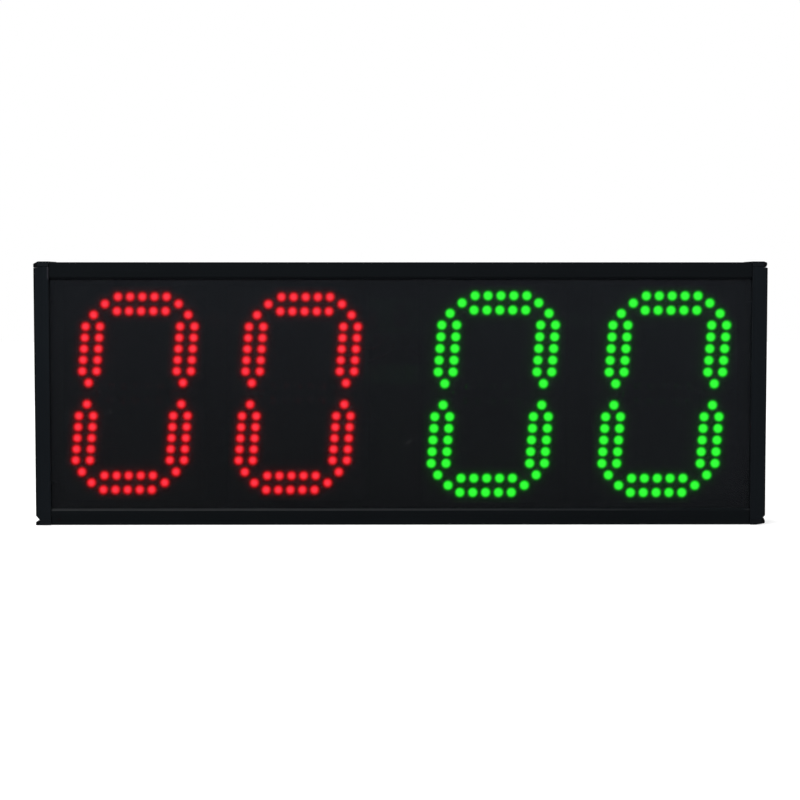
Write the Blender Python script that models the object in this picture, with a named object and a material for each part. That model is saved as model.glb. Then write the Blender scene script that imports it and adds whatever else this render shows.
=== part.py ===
# Substitution board: a hand-held display of two red and two green LED digits in a flat aluminium case.
# Metres, +Z up. The display faces -Y, and the controls and handles are on the back, at +Y.
# The origin is the middle of the underside, where the board stands on a table.

import math

import bmesh
import bpy
from mathutils import Vector

# Case
CASE_WIDTH = 0.732
CASE_HEIGHT = 0.264
CASE_DEPTH = 0.050
CLEARANCE = 0.0003  # between pieces that touch

# Side profiles: upright C sections, open towards the middle
SIDE_FACE = 0.015  # width of the lips, seen from the front
SIDE_LIP = 0.0017
SIDE_WEB = 0.0020
SIDE_EDGE = 0.0008  # chamfer along each outer corner

# Corner caps
CAP_THICKNESS = 0.0050
CAP_STEP = 0.0008  # how far the upper caps stand above the top rail
EAR_SLOPE = 0.0012
EAR_HEIGHT = 0.0030
NOTCH_DEPTH = 0.0040
TOP_CHAMFER = 0.0012  # height of the chamfer on the upper ends of the side profiles
BOTTOM_CHAMFER = 0.0045
CAP_LEG_LENGTH = 0.035  # inside the side profile
CAP_ARM_LENGTH = 0.030  # inside the rail
CAP_ARM_HEIGHT = 0.008

# Rails
RAIL_SETBACK = 0.0020  # from the lips of the side profiles back to the face of the rail
RAIL_WALL = 0.0018
RAIL_LIP = 0.0166
LIP_BEVEL_HEIGHT = 0.0024  # along the edge that frames the window
LIP_BEVEL_DEPTH = 0.0014
RAIL_EDGE = 0.0004
RIB_HEIGHT = 0.0090
RIB_THICKNESS = 0.0015
LEDGE_HEIGHT = 0.0120
LEDGE_THICKNESS = 0.0015

# Window and back panel
WINDOW_THICKNESS = 0.0030
PANEL_THICKNESS = 0.0015
SHEET_END_INSET = 0.0050  # from the outside of the case to the ends of both sheets

# Digit boards
LAMP_RADIUS = 0.0040
LAMP_TIP_RADIUS = 0.0031
LAMP_HEIGHT = 0.0110
LAMP_SIDES = 6
LAMP_GAP = 0.0017  # from the lamps to the window
BOARD_THICKNESS = 0.0016
BOARD_MARGIN = 0.0030  # from the outermost lamps to the edge of the board
DIGIT_SLANT = 0.0778  # sideways shift for each metre of height
DIGIT_DROP = 0.0005  # from the middle of the case down to the middle of the digits
LAMPS_PER_ROW = 5
CORNER_STEP = 0.0125  # from the last lamp of a row to the lamp at the turn
COLUMN_END_STEP = 0.01175  # from the last lamp of a column to the lamp beyond it
FIRST_LAMP_HEIGHT = 0.0225  # of the columns, above and below the middle of the digit
RED_CENTRES = (-0.2676, -0.1037)
GREEN_CENTRES = (0.0926, 0.2645)
RED_DIGIT = {
    "row_pitch": 0.01215,
    "row_gap": 0.0143,
    "half_height": 0.0969,
    "column_pitch": 0.01115,
    "column_gap": 0.0143,
    "half_width": 0.0544,
}
GREEN_DIGIT = {
    "row_pitch": 0.01295,
    "row_gap": 0.0144,
    "half_height": 0.0989,
    "column_pitch": 0.01175,
    "column_gap": 0.0149,
    "half_width": 0.0570,
}

# Spacers pressed into the back panel
SPACER_RADIUS = 0.0032
SPACER_INSET = 0.0045  # from the edges of a board
SPACER_SIDES = 6

# Plugs and sockets of the ribbon cables
HEADER_SIZE = (0.0088, 0.0060, 0.0203)
RIBBON_PLUG_SIZE = (0.0062, 0.0050, 0.0174)
RIBBON_HEIGHT = 0.0127
RIBBON_THICKNESS = 0.0011
RIBBON_BOW = 0.0030
RIBBON_STEP = 0.0080
HEADER_Z = 0.205

# Controller board
CONTROLLER_WIDTH = 0.070
CONTROLLER_HEIGHT = 0.044
CONTROLLER_SPACER = 0.0060
CONTROLLER_HEADER_X = 0.028
TERMINAL_BLOCK_SIZE = (0.054, 0.0080, 0.0080)
CHIP_SIZE = (0.0140, 0.0016, 0.0140)
CAPACITOR_RADIUS = 0.0040
CAPACITOR_HEIGHT = 0.0090
CAPACITOR_RISE = 0.0130  # above the middle of the board

# Push buttons, one for each digit
BUTTON_Z = 0.150
BUTTON_SPACING = 0.040
BUTTON_SEGMENTS = 14
BUTTON_BEZEL_RADIUS = 0.0085
BUTTON_BEZEL_THICKNESS = 0.0018
BUTTON_BARREL_RADIUS = 0.0062
BUTTON_CAP_RADIUS = 0.0045
BUTTON_CAP_RISE = 0.0028  # above the bezel
BUTTON_CAP_LENGTH = 0.0070
BUTTON_TRAVEL = 0.0020
BUTTON_BARREL_LENGTH = 0.0110  # behind the panel
BUTTON_EDGE = 0.0008
NUT_THICKNESS = 0.0030
NUT_RADIUS = 0.0090
NUT_SIDES = 6
BUTTON_BASE_RADIUS = 0.0050
BUTTON_BOARD_Y = 0.0032  # middle of the board that carries the buttons
BUTTON_BOARD_MARGIN = 0.010
BUTTON_BOARD_HEIGHT = 0.020

# Power switch
SWITCH_X = 0.030
SWITCH_Z = 0.100
SWITCH_BEZEL = (0.0150, 0.0020, 0.0210)
SWITCH_BODY = (0.0124, 0.0186)
SWITCH_DEPTH = 0.0120  # behind the panel
SWITCH_TAB = (0.0063, 0.0050, 0.0010)
SWITCH_TAB_SPACING = 0.0100
ROCKER_WIDTH = 0.0094
ROCKER_RADIUS = 0.0072
ROCKER_PIVOT_DEPTH = 0.0030  # below the face of the bezel
ROCKER_TILT = math.radians(12)
ROCKER_DIP = 0.0032  # from the pivot to the middle of the rocker's face
ROCKER_END = 0.0046  # from the pivot to the ends of the rocker's face
ROCKER_ARC_STEPS = 12

# Charging socket
JACK_X = -0.030
JACK_Z = 0.100
JACK_SEGMENTS = 16
JACK_PLATE_WIDTH = 0.0160
JACK_PLATE_BELOW = 0.0085
JACK_PLATE_ABOVE = 0.0130
JACK_PLATE_CORNER = 0.0030
JACK_PLATE_THICKNESS = 0.0020
JACK_BARREL_RADIUS = 0.0055
JACK_BORE_RADIUS = 0.0032
JACK_BORE_DEPTH = 0.0090
JACK_PIN_RADIUS = 0.0010
JACK_PIN_LENGTH = 0.0080
JACK_BARREL_LENGTH = 0.0130  # behind the panel
JACK_LUG = (0.0036, 0.0050, 0.0010)
JACK_LUG_RISE = 0.0030
JACK_NUT_RADIUS = 0.0080
JACK_NUT_THICKNESS = 0.0025
COVER_RADIUS = 0.0065
COVER_THICKNESS = 0.0034  # thick enough that its weight holds it shut
COVER_EDGE = 0.0008
HINGE_RISE = 0.0098  # from the middle of the socket up to the hinge
HINGE_KNUCKLE_RADIUS = 0.0014
HINGE_KNUCKLE_WIDTH = 0.0056
HINGE_PIN_RADIUS = 0.0007
HINGE_EAR_WIDTH = 0.0016
HINGE_EAR_HALF_HEIGHT = 0.0018
HINGE_SEGMENTS = 8

# Battery
CELL_RADIUS = 0.0093
CELL_LENGTH = 0.066
CELL_COUNT = 4
CELL_ARC_STEPS = 4
SLEEVE_TURN = math.radians(60)  # how far round a cell the sleeve follows it before it meets the next
BATTERY_X = -0.1275
BATTERY_Z = 0.128
TRAY_THICKNESS = 0.0015
TRAY_LENGTH = 0.050
TRAY_HOOK = 0.0040

# Handles
HANDLE_X = 0.290
HANDLE_HOLE_SPACING = 0.120
HANDLE_RADIUS = 0.0060
HANDLE_REACH = 0.034  # from the panel to the middle of the grip
HANDLE_BEND = 0.014
HANDLE_BEND_STEPS = 5
HANDLE_SIDES = 12
HANDLE_BORE_DEPTH = 0.014
GRIP_RADIUS = 0.0100
GRIP_LENGTH = 0.084
GRIP_EDGE = 0.0015

# Screws
PANEL_SCREW_SPACING = 0.250
PANEL_SCREW_RISE = 0.0070  # from the outside of the rail
PANEL_SCREW = {"shank": 0.0014, "head": 0.0028, "head_height": 0.0018, "length": 0.0070}
CORNER_SCREW_INSET = 0.0095  # from the outside of the side profile
CORNER_SCREW_RISE = 0.025  # from the underside or the top of the case
CORNER_SCREW = {"shank": 0.0015, "head": 0.0030, "head_height": 0.0020, "length": 0.0140}
HANDLE_SCREW = {"shank": 0.0025, "head": 0.0045, "head_height": 0.0028, "length": 0.0140}
SCREW_SEGMENTS = 10
SCREW_CROWN = 0.75  # radius of the top of a head, as a share of the head's
SCREW_PLAY = 0.0003  # around a shank

# Leads inside the case
LEAD_RADIUS = 0.0015
LEAD_STEP = 0.008
LEAD_EXITS = {"battery": -0.020, "jack": -0.007, "switch": 0.007, "button": 0.020}

# Planes across the depth of the case, front to back
HALF_WIDTH = CASE_WIDTH / 2
HALF_DEPTH = CASE_DEPTH / 2
MIDDLE_Z = CASE_HEIGHT / 2
DIGIT_Z = MIDDLE_Z - DIGIT_DROP
RAIL_FRONT = -HALF_DEPTH + RAIL_SETBACK
RAIL_BACK = HALF_DEPTH - RAIL_SETBACK
WINDOW_FRONT = RAIL_FRONT + RAIL_WALL + CLEARANCE
WINDOW_BACK = WINDOW_FRONT + WINDOW_THICKNESS
RIB_FRONT = WINDOW_BACK + CLEARANCE
RIB_BACK = RIB_FRONT + RIB_THICKNESS
BOARD_FRONT = WINDOW_BACK + LAMP_GAP + LAMP_HEIGHT
BOARD_BACK = BOARD_FRONT + BOARD_THICKNESS
PANEL_BACK = RAIL_BACK
PANEL_FRONT = PANEL_BACK - PANEL_THICKNESS
LEDGE_BACK = PANEL_FRONT - CLEARANCE
LEDGE_FRONT = LEDGE_BACK - LEDGE_THICKNESS
OUTSIDE_Y = PANEL_BACK + CLEARANCE  # where what is fixed on the back panel starts
INSIDE_Y = PANEL_FRONT - CLEARANCE

# Heights and lengths that follow from the case
RAIL_TOP = CASE_HEIGHT - CAP_STEP
RAIL_HALF_LENGTH = HALF_WIDTH - SIDE_FACE - CLEARANCE
SHEET_HALF_LENGTH = HALF_WIDTH - SHEET_END_INSET
PANEL_BOTTOM = RAIL_WALL + CLEARANCE
PANEL_TOP = RAIL_TOP - RAIL_WALL - CLEARANCE
SHEET_END_BOTTOM = CAP_THICKNESS + CLEARANCE  # both sheets clear the corner caps
SHEET_END_TOP = CASE_HEIGHT - SHEET_END_BOTTOM
CONTROLLER_BACK = PANEL_FRONT - CONTROLLER_SPACER - CLEARANCE
CONTROLLER_FRONT = CONTROLLER_BACK - BOARD_THICKNESS
CONTROLLER_BOTTOM = HEADER_Z - CONTROLLER_HEIGHT / 2
UNION_OVERLAP = 0.0004  # how far pieces made as one sink into each other before they are joined


# Scene and materials


def clear_scene():
    for obj in list(bpy.data.objects):
        bpy.data.objects.remove(obj, do_unlink=True)


def principled(name, colour, roughness, metallic=0.0, alpha=1.0):
    material = bpy.data.materials.new(name)
    material.use_nodes = True
    shader = material.node_tree.nodes["Principled BSDF"]
    shader.inputs["Base Color"].default_value = (*colour, 1.0)
    shader.inputs["Roughness"].default_value = roughness
    shader.inputs["Metallic"].default_value = metallic
    shader.inputs["Alpha"].default_value = alpha
    material.diffuse_color = (*colour, alpha)
    return material


# Shapes


def prism(outline, axis, start, end):
    """A mesh of the outline, given in the two directions across the axis in X, Y, Z order, run along it."""
    shape = bmesh.new()
    across = [i for i in range(3) if i != "XYZ".index(axis)]

    def place(point, along):
        position = [along] * 3
        position[across[0]] = point[0]
        position[across[1]] = point[1]
        return position

    near = [shape.verts.new(place(point, start)) for point in outline]
    far = [shape.verts.new(place(point, end)) for point in outline]
    shape.faces.new(near)
    shape.faces.new(reversed(far))
    for i in range(len(outline)):
        j = (i + 1) % len(outline)
        shape.faces.new((near[j], near[i], far[i], far[j]))
    bmesh.ops.recalc_face_normals(shape, faces=shape.faces)
    return shape


def box(low, high):
    outline = [(low[0], low[1]), (high[0], low[1]), (high[0], high[1]), (low[0], high[1])]
    return prism(outline, "Z", low[2], high[2])


def centred_box(size, centre):
    low = [c - s / 2 for c, s in zip(centre, size)]
    high = [c + s / 2 for c, s in zip(centre, size)]
    return box(low, high)


def circle(radius, segments, turn=0.0):
    angles = [turn + 2 * math.pi * i / segments for i in range(segments)]
    return [(radius * math.cos(a), radius * math.sin(a)) for a in angles]


def turned(profile, segments, centre=(0.0, 0.0)):
    """A solid turned round a line along Y through centre (x, z). The profile lists (radius, y) from one end
    of the line to the other, and its first and last radius are above zero."""
    shape = bmesh.new()
    rings = []
    for radius, y in profile:
        places = circle(radius, segments, math.pi / segments)
        rings.append([shape.verts.new((centre[0] + px, y, centre[1] + pz)) for px, pz in places])
    shape.faces.new(rings[0])
    shape.faces.new(reversed(rings[-1]))
    for lower, upper in zip(rings, rings[1:]):
        for i in range(segments):
            j = (i + 1) % segments
            shape.faces.new((lower[i], lower[j], upper[j], upper[i]))
    bmesh.ops.recalc_face_normals(shape, faces=shape.faces)
    return shape


def rod(radius, segments, centre, start, end):
    """A straight rod along Y."""
    return turned([(radius, start), (radius, end)], segments, centre)


def swept(route, radius, sides):
    """A round bar along a route that lies in a plane of constant X."""
    shape = bmesh.new()
    rings = []
    for i, point in enumerate(route):
        before = route[max(i - 1, 0)]
        after = route[min(i + 1, len(route) - 1)]
        ahead = (after - before).normalized()
        side = Vector((1, 0, 0))
        up = ahead.cross(side)
        places = circle(radius, sides, math.pi / sides)
        rings.append([shape.verts.new(point + side * px + up * pz) for px, pz in places])
    shape.faces.new(rings[0])
    shape.faces.new(reversed(rings[-1]))
    for lower, upper in zip(rings, rings[1:]):
        for i in range(sides):
            j = (i + 1) % sides
            shape.faces.new((lower[i], lower[j], upper[j], upper[i]))
    bmesh.ops.recalc_face_normals(shape, faces=shape.faces)
    return shape


def together(shapes):
    """One mesh that holds all of these, each still its own body."""
    whole = bmesh.new()
    for shape in shapes:
        mesh = bpy.data.meshes.new("piece")
        shape.to_mesh(mesh)
        shape.free()
        whole.from_mesh(mesh)
        bpy.data.meshes.remove(mesh)
    return whole


# Objects


def add(name, shape, material, origin=(0, 0, 0), smooth=False):
    """An object of this mesh. The mesh is given in world coordinates, and the origin goes where asked."""
    mesh = bpy.data.meshes.new(name)
    bmesh.ops.translate(shape, verts=shape.verts, vec=-Vector(origin))
    shape.to_mesh(mesh)
    shape.free()
    mesh.materials.append(material)
    if smooth:
        mesh.shade_smooth()
        mesh.set_sharp_from_angle(angle=math.radians(40))
    obj = bpy.data.objects.new(name, mesh)
    obj.location = origin
    bpy.context.scene.collection.objects.link(obj)
    return obj


def helper(name, shape, material):
    obj = add(name, shape, material)
    obj.hide_render = True
    obj.display_type = "WIRE"
    return obj


def combine(target, operation, name, shapes, material):
    """Joins the shapes to the target, or cuts them from it, as one Boolean."""
    tool = helper(f"{target.name}_{name}", together(shapes), material)
    modifier = target.modifiers.new(name, "BOOLEAN")
    modifier.operation = operation
    modifier.object = tool
    modifier.solver = "EXACT"


def join(target, name, shapes, material):
    combine(target, "UNION", name, shapes, material)


def cut(target, name, shapes, material):
    combine(target, "DIFFERENCE", name, shapes, material)


def screw(name, centre, seat, direction, size, material):
    """A pan head screw along Y at centre (x, z): its head starts at seat, and its shank runs in direction."""
    top = seat - direction * size["head_height"]
    rounded = top + direction * size["head_height"] / 3
    profile = [
        (size["head"] * SCREW_CROWN, top),
        (size["head"], rounded),
        (size["head"], seat),
        (size["shank"], seat),
        (size["shank"], seat + direction * size["length"]),
    ]
    return add(name, turned(profile, SCREW_SEGMENTS, centre), material, smooth=True)


# Frame


def build_rail(name, outside, inward, material):
    """A rail whose outer face is at the height outside. Inward is +1 for the bottom rail, -1 for the top."""
    profile = [
        (RAIL_FRONT + RAIL_EDGE, 0),
        (RAIL_FRONT, RAIL_EDGE),
        (RAIL_FRONT, RAIL_LIP - LIP_BEVEL_HEIGHT),
        (RAIL_FRONT + LIP_BEVEL_DEPTH, RAIL_LIP),
        (RAIL_FRONT + RAIL_WALL, RAIL_LIP),
        (RAIL_FRONT + RAIL_WALL, RAIL_WALL),
        (RIB_FRONT, RAIL_WALL),
        (RIB_FRONT, RIB_HEIGHT),
        (RIB_BACK, RIB_HEIGHT),
        (RIB_BACK, RAIL_WALL),
        (LEDGE_FRONT, RAIL_WALL),
        (LEDGE_FRONT, LEDGE_HEIGHT),
        (LEDGE_BACK, LEDGE_HEIGHT),
        (LEDGE_BACK, RAIL_WALL),
        (RAIL_BACK, RAIL_WALL),
        (RAIL_BACK, 0),
    ]
    outline = [(y, outside + inward * rise) for y, rise in profile]
    rail = add(name, prism(outline, "X", -RAIL_HALF_LENGTH, RAIL_HALF_LENGTH), material)
    hole = PANEL_SCREW["shank"] + SCREW_PLAY
    holes = [
        rod(hole, SCREW_SEGMENTS, (x, outside + inward * PANEL_SCREW_RISE), LEDGE_FRONT - CLEARANCE,
            LEDGE_BACK + CLEARANCE)
        for x in panel_screw_xs()
    ]
    cut(rail, "screw_holes", holes, material)


def build_side_profile(name, side, material):
    """An upright profile. Side is -1 for the left one and +1 for the right one."""
    profile = [
        (0, -HALF_DEPTH + SIDE_EDGE),
        (SIDE_EDGE, -HALF_DEPTH),
        (SIDE_FACE - RAIL_EDGE, -HALF_DEPTH),
        (SIDE_FACE, -HALF_DEPTH + RAIL_EDGE),
        (SIDE_FACE, -HALF_DEPTH + SIDE_LIP),
        (SIDE_WEB, -HALF_DEPTH + SIDE_LIP),
        (SIDE_WEB, HALF_DEPTH - SIDE_LIP),
        (SIDE_FACE, HALF_DEPTH - SIDE_LIP),
        (SIDE_FACE, HALF_DEPTH),
        (SIDE_EDGE, HALF_DEPTH),
        (0, HALF_DEPTH - SIDE_EDGE),
    ]
    outline = [(side * (HALF_WIDTH - inset), y) for inset, y in profile]
    bottom = CAP_THICKNESS + CLEARANCE
    top = CASE_HEIGHT - CAP_THICKNESS - CLEARANCE
    upright = add(name, prism(outline, "Z", bottom, top), material)
    chamfers = [
        end_chamfer(side, bottom, 1, BOTTOM_CHAMFER),
        end_chamfer(side, top, -1, TOP_CHAMFER),
    ]
    cut(upright, "end_chamfers", chamfers, material)
    hole = CORNER_SCREW["shank"] + SCREW_PLAY
    holes = [
        rod(hole, SCREW_SEGMENTS, (side * (HALF_WIDTH - CORNER_SCREW_INSET), z),
            HALF_DEPTH - SIDE_LIP - CLEARANCE, HALF_DEPTH + CLEARANCE)
        for z in corner_screw_zs()
    ]
    cut(upright, "screw_holes", holes, material)


def end_chamfer(side, end, inward, height):
    """The wedge that is cut from the outer corner of a side profile's end."""
    past = CLEARANCE
    wedge = [
        (side * (HALF_WIDTH + past), end - inward * past),
        (side * (HALF_WIDTH - NOTCH_DEPTH), end - inward * past),
        (side * (HALF_WIDTH - NOTCH_DEPTH), end),
        (side * (HALF_WIDTH + past), end + inward * (height + past * height / NOTCH_DEPTH)),
    ]
    return prism(wedge, "Y", -HALF_DEPTH - past, HALF_DEPTH + past)


def build_corner_cap(name, side, end, inward, material):
    """A cap with a leg down the side profile and an arm along the rail. End is the height of its outer
    face, and inward is +1 for the bottom caps, -1 for the top ones."""
    leg_inset = NOTCH_DEPTH + CLEARANCE
    leg_end = CAP_THICKNESS + CAP_LEG_LENGTH
    leg_inner = SIDE_FACE - CLEARANCE
    rail_outside = 0.0 if inward > 0 else CAP_STEP
    arm_top = rail_outside + RAIL_WALL + CLEARANCE
    arm_bottom = arm_top + CAP_ARM_HEIGHT
    flange = [
        (SIDE_FACE, 0),
        (NOTCH_DEPTH, 0),
        (0, EAR_SLOPE),
        (0, EAR_SLOPE + EAR_HEIGHT),
        (NOTCH_DEPTH, CAP_THICKNESS),
        (SIDE_FACE, CAP_THICKNESS),
    ]
    flange_outline = [(side * (HALF_WIDTH - inset), end + inward * rise) for inset, rise in flange]
    cap = add(name, prism(flange_outline, "Y", -HALF_DEPTH, HALF_DEPTH), material)
    core = [
        (leg_inset, CAP_THICKNESS - UNION_OVERLAP),
        (leg_inset, leg_end),
        (leg_inner, leg_end),
        (leg_inner, arm_bottom),
        (SIDE_FACE + CAP_ARM_LENGTH, arm_bottom),
        (SIDE_FACE + CAP_ARM_LENGTH, arm_top),
        (SIDE_FACE - UNION_OVERLAP, arm_top),
        (SIDE_FACE - UNION_OVERLAP, CAP_THICKNESS - UNION_OVERLAP),
    ]
    core_outline = [(side * (HALF_WIDTH - inset), end + inward * rise) for inset, rise in core]
    inner = prism(core_outline, "Y", RIB_BACK + CLEARANCE, LEDGE_FRONT - CLEARANCE)
    join(cap, "leg_and_arm", [inner], material)
    screw_z = end + inward * CORNER_SCREW_RISE
    screw_x = side * (HALF_WIDTH - CORNER_SCREW_INSET)
    hole_start = HALF_DEPTH - CORNER_SCREW["length"] - CLEARANCE
    hole = rod(CORNER_SCREW["shank"] + SCREW_PLAY, SCREW_SEGMENTS, (screw_x, screw_z), hole_start, HALF_DEPTH)
    cut(cap, "screw_hole", [hole], material)


def corner_screw_zs():
    return (CORNER_SCREW_RISE, CASE_HEIGHT - CORNER_SCREW_RISE)


def panel_screw_xs():
    return (-PANEL_SCREW_SPACING, 0.0, PANEL_SCREW_SPACING)


def build_frame(aluminium, plastic, steel):
    build_rail("top_rail", RAIL_TOP, -1, aluminium)
    build_rail("bottom_rail", 0.0, 1, aluminium)
    for side_name, side in (("left", -1), ("right", 1)):
        build_side_profile(f"{side_name}_side_profile", side, aluminium)
        for end_name, end, inward in (("bottom", 0.0, 1), ("top", CASE_HEIGHT, -1)):
            build_corner_cap(f"{end_name}_{side_name}_corner_cap", side, end, inward, plastic)
            centre = (side * (HALF_WIDTH - CORNER_SCREW_INSET), end + inward * CORNER_SCREW_RISE)
            screw(f"{end_name}_{side_name}_corner_screw", centre, HALF_DEPTH + CLEARANCE, -1,
                  CORNER_SCREW, steel)


# Window and back panel


def build_window(material):
    low = (-SHEET_HALF_LENGTH, WINDOW_FRONT, SHEET_END_BOTTOM)
    high = (SHEET_HALF_LENGTH, WINDOW_BACK, SHEET_END_TOP)
    add("front_window", box(low, high), material)


def panel_screw_places():
    heights = (PANEL_SCREW_RISE, RAIL_TOP - PANEL_SCREW_RISE)
    return [(x, z) for z in heights for x in panel_screw_xs()]


def handle_screw_places(x):
    return [(x, MIDDLE_Z + end * HANDLE_HOLE_SPACING / 2) for end in (-1, 1)]


def board_spacer_places():
    places = []
    for centre, digit in all_digits():
        half_width, half_height = board_half_size(digit)
        for side in (-1, 1):
            for end in (-1, 1):
                x = centre + side * (half_width - SPACER_INSET)
                z = DIGIT_Z + end * (half_height - SPACER_INSET)
                places.append((x, z))
    return places


def controller_spacer_places():
    half_width = CONTROLLER_WIDTH / 2 - SPACER_INSET
    half_height = CONTROLLER_HEIGHT / 2 - SPACER_INSET
    return [(side * half_width, HEADER_Z + end * half_height) for side in (-1, 1) for end in (-1, 1)]


def spacer(place, tip):
    return rod(SPACER_RADIUS, SPACER_SIDES, place, tip, PANEL_FRONT + UNION_OVERLAP)


def build_back_panel(material):
    outline = [
        (-SHEET_HALF_LENGTH, SHEET_END_BOTTOM),
        (-RAIL_HALF_LENGTH, SHEET_END_BOTTOM),
        (-RAIL_HALF_LENGTH, PANEL_BOTTOM),
        (RAIL_HALF_LENGTH, PANEL_BOTTOM),
        (RAIL_HALF_LENGTH, SHEET_END_BOTTOM),
        (SHEET_HALF_LENGTH, SHEET_END_BOTTOM),
        (SHEET_HALF_LENGTH, SHEET_END_TOP),
        (RAIL_HALF_LENGTH, SHEET_END_TOP),
        (RAIL_HALF_LENGTH, PANEL_TOP),
        (-RAIL_HALF_LENGTH, PANEL_TOP),
        (-RAIL_HALF_LENGTH, SHEET_END_TOP),
        (-SHEET_HALF_LENGTH, SHEET_END_TOP),
    ]
    panel = add("back_panel", prism(outline, "Y", PANEL_FRONT, PANEL_BACK), material)
    spacers = [spacer(place, BOARD_BACK + CLEARANCE) for place in board_spacer_places()]
    spacers += [spacer(place, CONTROLLER_BACK + CLEARANCE) for place in controller_spacer_places()]
    join(panel, "spacers", spacers, material)

    def hole(radius, place, segments=SCREW_SEGMENTS):
        return rod(radius, segments, place, PANEL_FRONT - CLEARANCE, PANEL_BACK + CLEARANCE)

    holes = [hole(PANEL_SCREW["shank"] + SCREW_PLAY, place) for place in panel_screw_places()]
    for side in (-1, 1):
        for place in handle_screw_places(side * HANDLE_X):
            holes.append(hole(HANDLE_SCREW["shank"] + SCREW_PLAY, place))
        for z in corner_screw_zs():
            place = (side * (HALF_WIDTH - CORNER_SCREW_INSET), z)
            holes.append(hole(CORNER_SCREW["shank"] + SCREW_PLAY, place))
    for x in button_xs():
        holes.append(hole(BUTTON_BARREL_RADIUS + SCREW_PLAY, (x, BUTTON_Z), BUTTON_SEGMENTS))
    holes.append(hole(JACK_BARREL_RADIUS + SCREW_PLAY, (JACK_X, JACK_Z), JACK_SEGMENTS))
    opening = (SWITCH_BODY[0] + 2 * CLEARANCE, 3 * PANEL_THICKNESS, SWITCH_BODY[1] + 2 * CLEARANCE)
    holes.append(centred_box(opening, (SWITCH_X, (PANEL_FRONT + PANEL_BACK) / 2, SWITCH_Z)))
    cut(panel, "holes", holes, material)


def build_panel_screws(material):
    for i, place in enumerate(panel_screw_places()):
        screw(f"panel_screw_{i + 1}", place, OUTSIDE_Y, -1, PANEL_SCREW, material)


# Digit boards


def all_digits():
    """(middle, digit) of the four digits, from left to right."""
    return [(x, RED_DIGIT) for x in RED_CENTRES] + [(x, GREEN_DIGIT) for x in GREEN_CENTRES]


def lamp_places(digit):
    """(across, up) of every lamp of a digit, from its middle, before the slant."""
    places = []
    middle = (LAMPS_PER_ROW - 1) / 2
    row_end = middle * digit["row_pitch"] + CORNER_STEP
    mid_row = digit["half_height"] - digit["row_gap"] / 2
    mid_column = digit["half_width"] - digit["column_gap"] / 2
    last_lamp_height = FIRST_LAMP_HEIGHT + (LAMPS_PER_ROW - 1) * digit["column_pitch"]
    for row_z in (mid_row, 0.0, -mid_row):
        for i in range(LAMPS_PER_ROW):
            across = (i - middle) * digit["row_pitch"]
            places.append((across, row_z - digit["row_gap"] / 2))
            places.append((across, row_z + digit["row_gap"] / 2))
        places.append((-row_end, row_z))
        places.append((row_end, row_z))
    for side in (-1, 1):
        for half in (-1, 1):
            for i in range(LAMPS_PER_ROW):
                up = half * (FIRST_LAMP_HEIGHT + i * digit["column_pitch"])
                places.append((side * (mid_column - digit["column_gap"] / 2), up))
                places.append((side * (mid_column + digit["column_gap"] / 2), up))
            places.append((side * mid_column, half * (FIRST_LAMP_HEIGHT - COLUMN_END_STEP)))
            places.append((side * mid_column, half * (last_lamp_height + COLUMN_END_STEP)))
    return places


def slanted(place, centre):
    across, up = place
    return (centre + across + DIGIT_SLANT * up, DIGIT_Z + up)


def board_half_size(digit):
    """Half the width and height of a digit's board, so that it takes in every lamp."""
    border = LAMP_RADIUS + BOARD_MARGIN
    furthest_across = max(slanted(place, 0.0)[0] for place in lamp_places(digit))
    return furthest_across + border, digit["half_height"] + border


def build_digit_board(name, centre, digit, board_material, lamp_material):
    half_width, half_height = board_half_size(digit)
    low = (centre - half_width, BOARD_FRONT, DIGIT_Z - half_height)
    high = (centre + half_width, BOARD_BACK, DIGIT_Z + half_height)
    board = add(name, box(low, high), board_material)
    lamp = [(LAMP_TIP_RADIUS, BOARD_FRONT - LAMP_HEIGHT), (LAMP_RADIUS, BOARD_FRONT + UNION_OVERLAP)]
    lamps = [turned(lamp, LAMP_SIDES, slanted(place, centre)) for place in lamp_places(digit)]
    join(board, "lamps", lamps, lamp_material)
    header_y = BOARD_BACK + (HEADER_SIZE[1] - UNION_OVERLAP) / 2
    header_size = (HEADER_SIZE[0], HEADER_SIZE[1] + UNION_OVERLAP, HEADER_SIZE[2])
    join(board, "header", [centred_box(header_size, (centre, header_y, HEADER_Z))], board_material)


def build_digit_boards(board_material, red, green):
    for i, (centre, digit) in enumerate(all_digits()):
        lamp_material = red if digit is RED_DIGIT else green
        build_digit_board(f"digit_board_{i + 1}", centre, digit, board_material, lamp_material)


# Controller and ribbon cables


def build_controller(material):
    low = (-CONTROLLER_WIDTH / 2, CONTROLLER_FRONT, CONTROLLER_BOTTOM)
    high = (CONTROLLER_WIDTH / 2, CONTROLLER_BACK, CONTROLLER_BOTTOM + CONTROLLER_HEIGHT)
    board = add("controller_board", box(low, high), material)

    def on_board(size, x, z):
        y = CONTROLLER_FRONT - (size[1] - UNION_OVERLAP) / 2
        return centred_box((size[0], size[1] + UNION_OVERLAP, size[2]), (x, y, z))

    parts = [on_board(HEADER_SIZE, side * CONTROLLER_HEADER_X, HEADER_Z) for side in (-1, 1)]
    block_z = CONTROLLER_BOTTOM + TERMINAL_BLOCK_SIZE[2] / 2 + CLEARANCE
    parts.append(on_board(TERMINAL_BLOCK_SIZE, 0.0, block_z))
    parts.append(on_board(CHIP_SIZE, 0.0, HEADER_Z))
    parts.append(rod(CAPACITOR_RADIUS, SCREW_SEGMENTS, (0.0, HEADER_Z + CAPACITOR_RISE),
                     CONTROLLER_FRONT - CAPACITOR_HEIGHT, CONTROLLER_FRONT + UNION_OVERLAP))
    join(board, "parts", parts, material)


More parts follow.
